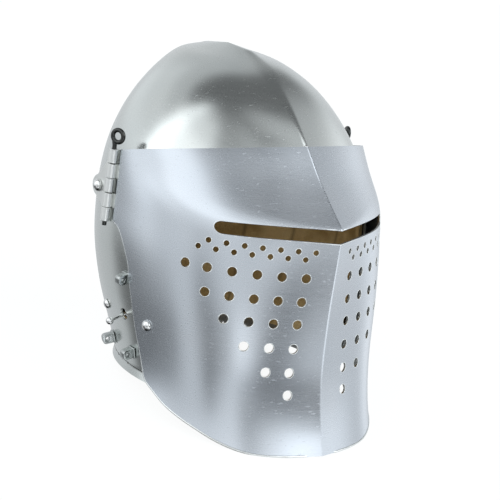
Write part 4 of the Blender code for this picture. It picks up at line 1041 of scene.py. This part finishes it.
# The wire goes up through the knuckles and curls over into a ring that leans off its line
def makePin(side, word):
    turn = math.radians(pin["ringTurn"])
    over = Vector((-side * math.cos(turn), -math.sin(turn), 0))
    axis = Vector((side * visor["hingeSide"], visor["hingeBack"], 0))
    path = [axis + Vector((0, 0, z))
            for z in (visor["hingeFoot"] - pin["tail"], 140, hinge["top"], hinge["top"] + 2.5)]
    centre = axis + over * pin["ringLean"] + Vector((0, 0, pin["ringHeight"]))
    for step in range(33):
        angle = math.radians(lerp(pin["ringFrom"], pin["ringTo"], step / 32))
        out = over * math.cos(angle) + Vector((0, 0, 1)) * math.sin(angle)
        path.append(centre + out * pin["ringRadius"])
    bm = bmesh.new()
    addWire(bm, [point * mm for point in path], pin["wire"] / 2 * mm)
    wire = meshObject("wire", bm)
    obj = joinShapes(f"pin_ring_{word}", [wire], steels["blackenedSteel"])
    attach(obj, f"pin_{word}")
    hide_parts(f"pin_{word}")


def placeAlong(point, normal):
    return Matrix.Translation(point) @ Vector((0, 0, 1)).rotation_difference(normal).to_matrix().to_4x4()


# Outline of a domed head over a shank, its seat at height 0 and its rim eased
def domed(radius, height, shank, depth):
    rise = [(radius * math.sin(a), height * math.cos(a)) for a in (math.pi / 2 * k / 10 for k in range(11))]
    return rise[:-1] + [(radius, 0.25), (radius * 0.985, 0), (shank, 0), (shank, -depth), (0, -depth)]


# A riveted head; its place is given in the helmet's frame
def makeDome(name, node, body, size, point, normal):
    obj = turned(name, domed(*size), helmetFrame @ placeAlong(point, normal), steels["rivetSteel"])
    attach(obj, body)
    if node:
        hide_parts(node)


for side, word in ((-1, "right"), (1, "left")):
    makeHingeArm(side, word)
    makePin(side, word)
    out = hinge["leafSide"] + hinge["leafSheet"] + headSeat
    seat = Vector((side * out, sizes["pivotBack"], sizes["pivotHeight"])) * mm
    makeDome(f"bolt_{word}", f"pivot_bolt_{word}", "helmet", hinge["boltHead"], seat, Vector((side, 0, 0)))

# Catch: a spring strip inside the right cheek with a stalk and ball through its hole, its rivet, and the stud
catch = {"clear": 1.2, "strip": 0.8, "wide": 8.0, "past": 4.0, "stalk": (-12.6, 0, -4.8), "stalkLength": 12.6,
         "stalkRoot": 3.2, "stalkWire": 2.3, "ball": 2.9, "rivetHead": (3.9, 2.8, 1.5, 2.8)}
stud = {"forward": 36.7, "height": 48.8, "head": (4.2, 3.2, 1.7, 0.2)}
ridgeBead = {"forward": 65.5, "height": 189.6, "seat": 0.05, "head": (1.5, 0.9, 0.8, 0.5)}


def makeCatch():
    bm = bmesh.new()
    rows = []
    for i in range(5):
        row = []
        for j in range(17):
            y = lerp(-sizes["catchForward"] - catch["past"], sizes["catchRivetBack"] + catch["past"], j / 16)
            z = sizes["catchHeight"] + catch["wide"] * (0.5 - i / 4)
            point, normal = skullSurface.atSide(y * mm, z * mm, -1)
            row.append(bm.verts.new(point - normal * (sizes["sheet"] + catch["clear"]) * mm))
        rows.append(row)
    for upper, lower in zip(rows, rows[1:]):
        for j in range(16):
            bm.faces.new((upper[j], upper[j + 1], lower[j + 1], lower[j]))
    strip = meshObject("strip_raw", bm)
    thicken(strip, catch["strip"], False)
    hole, normal = skullSurface.atSide(-sizes["catchForward"] * mm, sizes["catchHeight"] * mm, -1)
    out = Vector(catch["stalk"]).normalized()
    tip = hole + out * catch["stalkLength"] * mm
    bm = bmesh.new()
    root = hole - normal * catch["stalkRoot"] * mm
    addWire(bm, [root, hole, hole.lerp(tip, 0.5), tip], catch["stalkWire"] / 2 * mm)
    stalk = meshObject("stalk", bm)
    bm = bmesh.new()
    bmesh.ops.create_uvsphere(bm, u_segments=32, v_segments=20, radius=catch["ball"] * mm,
                              matrix=placeAlong(tip, out))
    ball = meshObject("ball", bm)
    obj = joinShapes("catch_spring", [evaluated(strip, "strip"), stalk, ball], steels["rivetSteel"])
    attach(obj, "catch")
    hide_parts("catch")


makeCatch()
point, normal = skullSurface.atSide(sizes["catchRivetBack"] * mm, sizes["catchRivetHeight"] * mm, -1)
makeDome("rivet_head", "catch_rivet", "helmet", catch["rivetHead"], point + normal * headSeat * mm, normal)
point, normal = visorSurface.atSide(-stud["forward"] * mm, stud["height"] * mm, -1)
makeDome("stud_head", "visor_stud", "visor", stud["head"], point + normal * headSeat * mm, normal)
point, normal = skullSurface.nearest(Vector((0, -ridgeBead["forward"], ridgeBead["height"])) * mm)
makeDome("ridge_bead", None, "helmet", ridgeBead["head"], point + normal * ridgeBead["seat"] * mm, normal)

# Vervelles: pierced lugs on square collars
vervelle = {"length": 9.2, "tall": 7.6, "wide": 5.4, "corner": 2.6, "root": 0.4, "collar": 8.6,
            "collarSheet": 1.2, "eye": 3.2, "ease": 0.45}


# Built along local X where the made lug stands, found from the middle and lean of its collar
def makeVervelle(node):
    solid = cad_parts[node]
    points = [helmetFrame.inverted() @ (solid.matrix_world @ vertex.co) for vertex in solid.data.vertices]
    middle = sum(points, Vector()) / len(points)
    if "nape" in node:
        seat, outward = skullSurface.nearest(Vector((0, middle.y, middle.z)))
        outward.x = 0
        outward.normalize()
    else:
        seat, outward = skullSurface.nearest(middle)
    across = Vector((0, 0, 1)).cross(outward).normalized()
    turn = Matrix((outward, across, outward.cross(across))).transposed().to_4x4()
    half, corner, reach = vervelle["tall"] / 2, vervelle["corner"], vervelle["length"]
    outline = [(vervelle["root"], -half)]
    for start, centre in ((-90, (reach - corner, -half + corner)), (0, (reach - corner, half - corner))):
        for step in range(7):
            angle = math.radians(start + 15 * step)
            outline.append((centre[0] + corner * math.cos(angle), centre[1] + corner * math.sin(angle)))
    outline.append((vervelle["root"], half))
    thick = vervelle["wide"] / 2 * mm
    lug = extruded("lug", [(x * mm, z * mm) for x, z in outline], "Y", -thick, thick)
    bm = bmesh.new()
    eyeAt = (reach - half) * mm
    addRod(bm, Vector((eyeAt, -0.01, 0)), Vector((eyeAt, 0.01, 0)), vervelle["eye"] / 2 * mm, 28)
    lug = cut(lug, [(meshObject("eye", bm), "DIFFERENCE")])
    bm = bmesh.new()
    size = Vector((vervelle["collarSheet"], vervelle["collar"], vervelle["collar"])) * mm
    addBlock(bm, size, Vector((size.x / 2, 0, 0)))
    collar = meshObject("collar", bm)
    shapes = []
    for shape in (lug, collar):
        bevel = shape.modifiers.new("ease", "BEVEL")
        bevel.width, bevel.segments, bevel.limit_method = vervelle["ease"] * mm, 3, "ANGLE"
        bevel.angle_limit = math.radians(40)
        shapes.append(evaluated(shape, shape.name + "_eased"))
    obj = joinShapes(node + "_lug", shapes, steels["lugSteel"], 30)
    obj.matrix_world = helmetFrame @ Matrix.Translation(seat + outward * headSeat * mm) @ turn
    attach(obj, "helmet")
    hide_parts(node)


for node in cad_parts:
    if node.startswith("vervelle_"):
        makeVervelle(node)

print("fittings made")

# Camera: the photograph's place, given in the helmet's frame
camera = {"place": (-0.8644, -1.0671, 0.4687), "look": (0.61385, 0.74379, -0.26452),
          "up": (0.04723, 0.29987, 0.95281), "lens": 133.2}
cameraData = bpy.data.cameras.new("camera")
cameraData.lens = camera["lens"]
cameraData.sensor_width = 36
cameraObject = bpy.data.objects.new("camera", cameraData)
bpy.context.scene.collection.objects.link(cameraObject)
turnOnly = helmetFrame.to_3x3()
backWay = -(turnOnly @ Vector(camera["look"])).normalized()
sideWay = (turnOnly @ Vector(camera["up"])).cross(backWay).normalized()
upWay = backWay.cross(sideWay)
cameraObject.matrix_world = (Matrix.Translation(helmetFrame @ Vector(camera["place"]))
                             @ Matrix((sideWay, upWay, backWay)).transposed().to_4x4())
bpy.context.scene.camera = cameraObject

# Studio: a pale floor, a pale backdrop and soft light from the whole room
studio = {
    "floorSize": 12.0, "floorGlow": 0.95, "floorMatte": 0.08, "floorColor": "FDFEFE", "backdropGlow": 1.0,
    "ground": 0.20, "horizon": 0.22, "zenith": 0.186, "roomColor": "F8FBFF", "boxSoft": 16,
}
# Elevations in degrees between which the room goes from black to ground, to horizon and to zenith
roomBands = {"black": (-68, -52), "horizon": (-8, 8), "zenith": (32, 48)}
# Soft boxes of the room: azimuth from the front towards the helmet's left, elevation,
# half width and half height in degrees, and how much light they add
softBoxes = (
    (40, 40, 30, 20, 2.60),
    (-20, -10, 10, 10, 1.84),
    (0, 30, 10, 10, 1.61),
    (30, -30, 20, 30, 1.39),
    (10, -30, 100, 10, 0.72),
    (-90, 40, 40, 40, 0.90),
    (-90, -10, 20, 10, 0.69),
    (-40, 20, 10, 20, 0.66),
    (150, 0, 100, 20, 0.63),
    (-120, 30, 10, 50, 0.56),
    (150, -40, 60, 20, 0.51),
    (50, 40, 20, 40, 0.51),
    (-110, 40, 100, 20, 0.50),
    (0, 70, 10, 10, 0.45),
    (140, 40, 10, 20, 0.42),
    (100, -10, 10, 50, 0.41),
    (-30, 20, 20, 60, 0.23),
    (-140, 20, 50, 20, 0.20),
)


def makeWorld():
    world = bpy.data.worlds.new("studio")
    bpy.context.scene.world = world
    tree = emptyTree(world)
    way = addNode(tree, "ShaderNodeTexCoord").outputs["Generated"]
    parts = addNode(tree, "ShaderNodeSeparateXYZ", inputs={0: way})
    front = addNode(tree, "ShaderNodeMath", {"operation": "MULTIPLY"}, {0: parts.outputs["Y"], 1: -1.0})
    azimuth = addNode(tree, "ShaderNodeMath", {"operation": "ARCTAN2"}, {
        0: parts.outputs["X"], 1: front.outputs[0]})
    elevation = addNode(tree, "ShaderNodeMath", {"operation": "ARCSINE"}, {0: parts.outputs["Z"]})
    bands = []
    for band, start, end in (("horizon", studio["ground"], studio["horizon"]),
                             ("zenith", 0.0, studio["zenith"] - studio["horizon"]), ("black", 0.0, 1.0)):
        low, high = (math.radians(degrees) for degrees in roomBands[band])
        bands.append(addNode(tree, "ShaderNodeMapRange", {"interpolation_type": "SMOOTHSTEP"}, {
            "Value": elevation.outputs[0], "From Min": low, "From Max": high,
            "To Min": start, "To Max": end}))
    room = addNode(tree, "ShaderNodeMath", {"operation": "ADD"}, {
        0: bands[0].outputs[0], 1: bands[1].outputs[0]})
    total = addNode(tree, "ShaderNodeMath", {"operation": "MULTIPLY"}, {
        0: room.outputs[0], 1: bands[2].outputs[0]})
    for aroundDegrees, upDegrees, halfWide, halfTall, glow in softBoxes:
        spans = []
        for source, centre, half in ((azimuth, aroundDegrees, halfWide), (elevation, upDegrees, halfTall)):
            offset = addNode(tree, "ShaderNodeMath", {"operation": "SUBTRACT"}, {
                0: source.outputs[0], 1: math.radians(centre)})
            near = addNode(tree, "ShaderNodeMath", {"operation": "WRAP"}, {
                0: offset.outputs[0], 1: math.pi, 2: -math.pi})
            away = addNode(tree, "ShaderNodeMath", {"operation": "ABSOLUTE"}, {0: near.outputs[0]})
            spans.append(addNode(tree, "ShaderNodeMapRange", {"interpolation_type": "SMOOTHSTEP"}, {
                "Value": away.outputs[0], "From Min": math.radians(half - studio["boxSoft"] / 2),
                "From Max": math.radians(half + studio["boxSoft"] / 2), "To Min": 1.0, "To Max": 0.0}))
        box = addNode(tree, "ShaderNodeMath", {"operation": "MULTIPLY"}, {
            0: spans[0].outputs[0], 1: spans[1].outputs[0]})
        total = addNode(tree, "ShaderNodeMath", {"operation": "MULTIPLY_ADD"}, {
            0: box.outputs[0], 1: glow, 2: total.outputs[0]})
    background = addNode(tree, "ShaderNodeBackground", inputs={
        "Strength": total.outputs[0], "Color": linearColor(studio["roomColor"])})
    addNode(tree, "ShaderNodeOutputWorld", inputs={"Surface": background.outputs[0]})


def glowMaterial(name, code, glow, matte):
    material = bpy.data.materials.new(name)
    material.use_nodes = True
    shader = material.node_tree.nodes["Principled BSDF"]
    shader.inputs["Base Color"].default_value = [c * matte for c in linearColor(code)[:3]] + [1]
    shader.inputs["Roughness"].default_value = 0.9
    shader.inputs["Specular IOR Level"].default_value = 0.0
    shader.inputs["Emission Color"].default_value = linearColor(code)
    shader.inputs["Emission Strength"].default_value = glow
    return material


def makeStage():
    bm = bmesh.new()
    bmesh.ops.create_grid(bm, x_segments=1, y_segments=1, size=studio["floorSize"] / 2)
    pale = glowMaterial("paleFloor", studio["floorColor"], studio["floorGlow"], studio["floorMatte"])
    floor = meshObject("floor", bm, [pale])
    bm = bmesh.new()
    bmesh.ops.create_uvsphere(bm, u_segments=48, v_segments=24, radius=studio["floorSize"] / 2)
    bmesh.ops.reverse_faces(bm, faces=bm.faces)
    pale = glowMaterial("paleBackdrop", studio["floorColor"], studio["backdropGlow"], 0.0)
    backdrop = meshObject("backdrop", bm, [pale])
    floor.visible_glossy = False
    for ray in ("visible_glossy", "visible_diffuse", "visible_transmission", "visible_shadow"):
        setattr(backdrop, ray, False)


makeWorld()
makeStage()
bpy.context.scene.view_settings.view_transform = "Standard"
print("studio made")
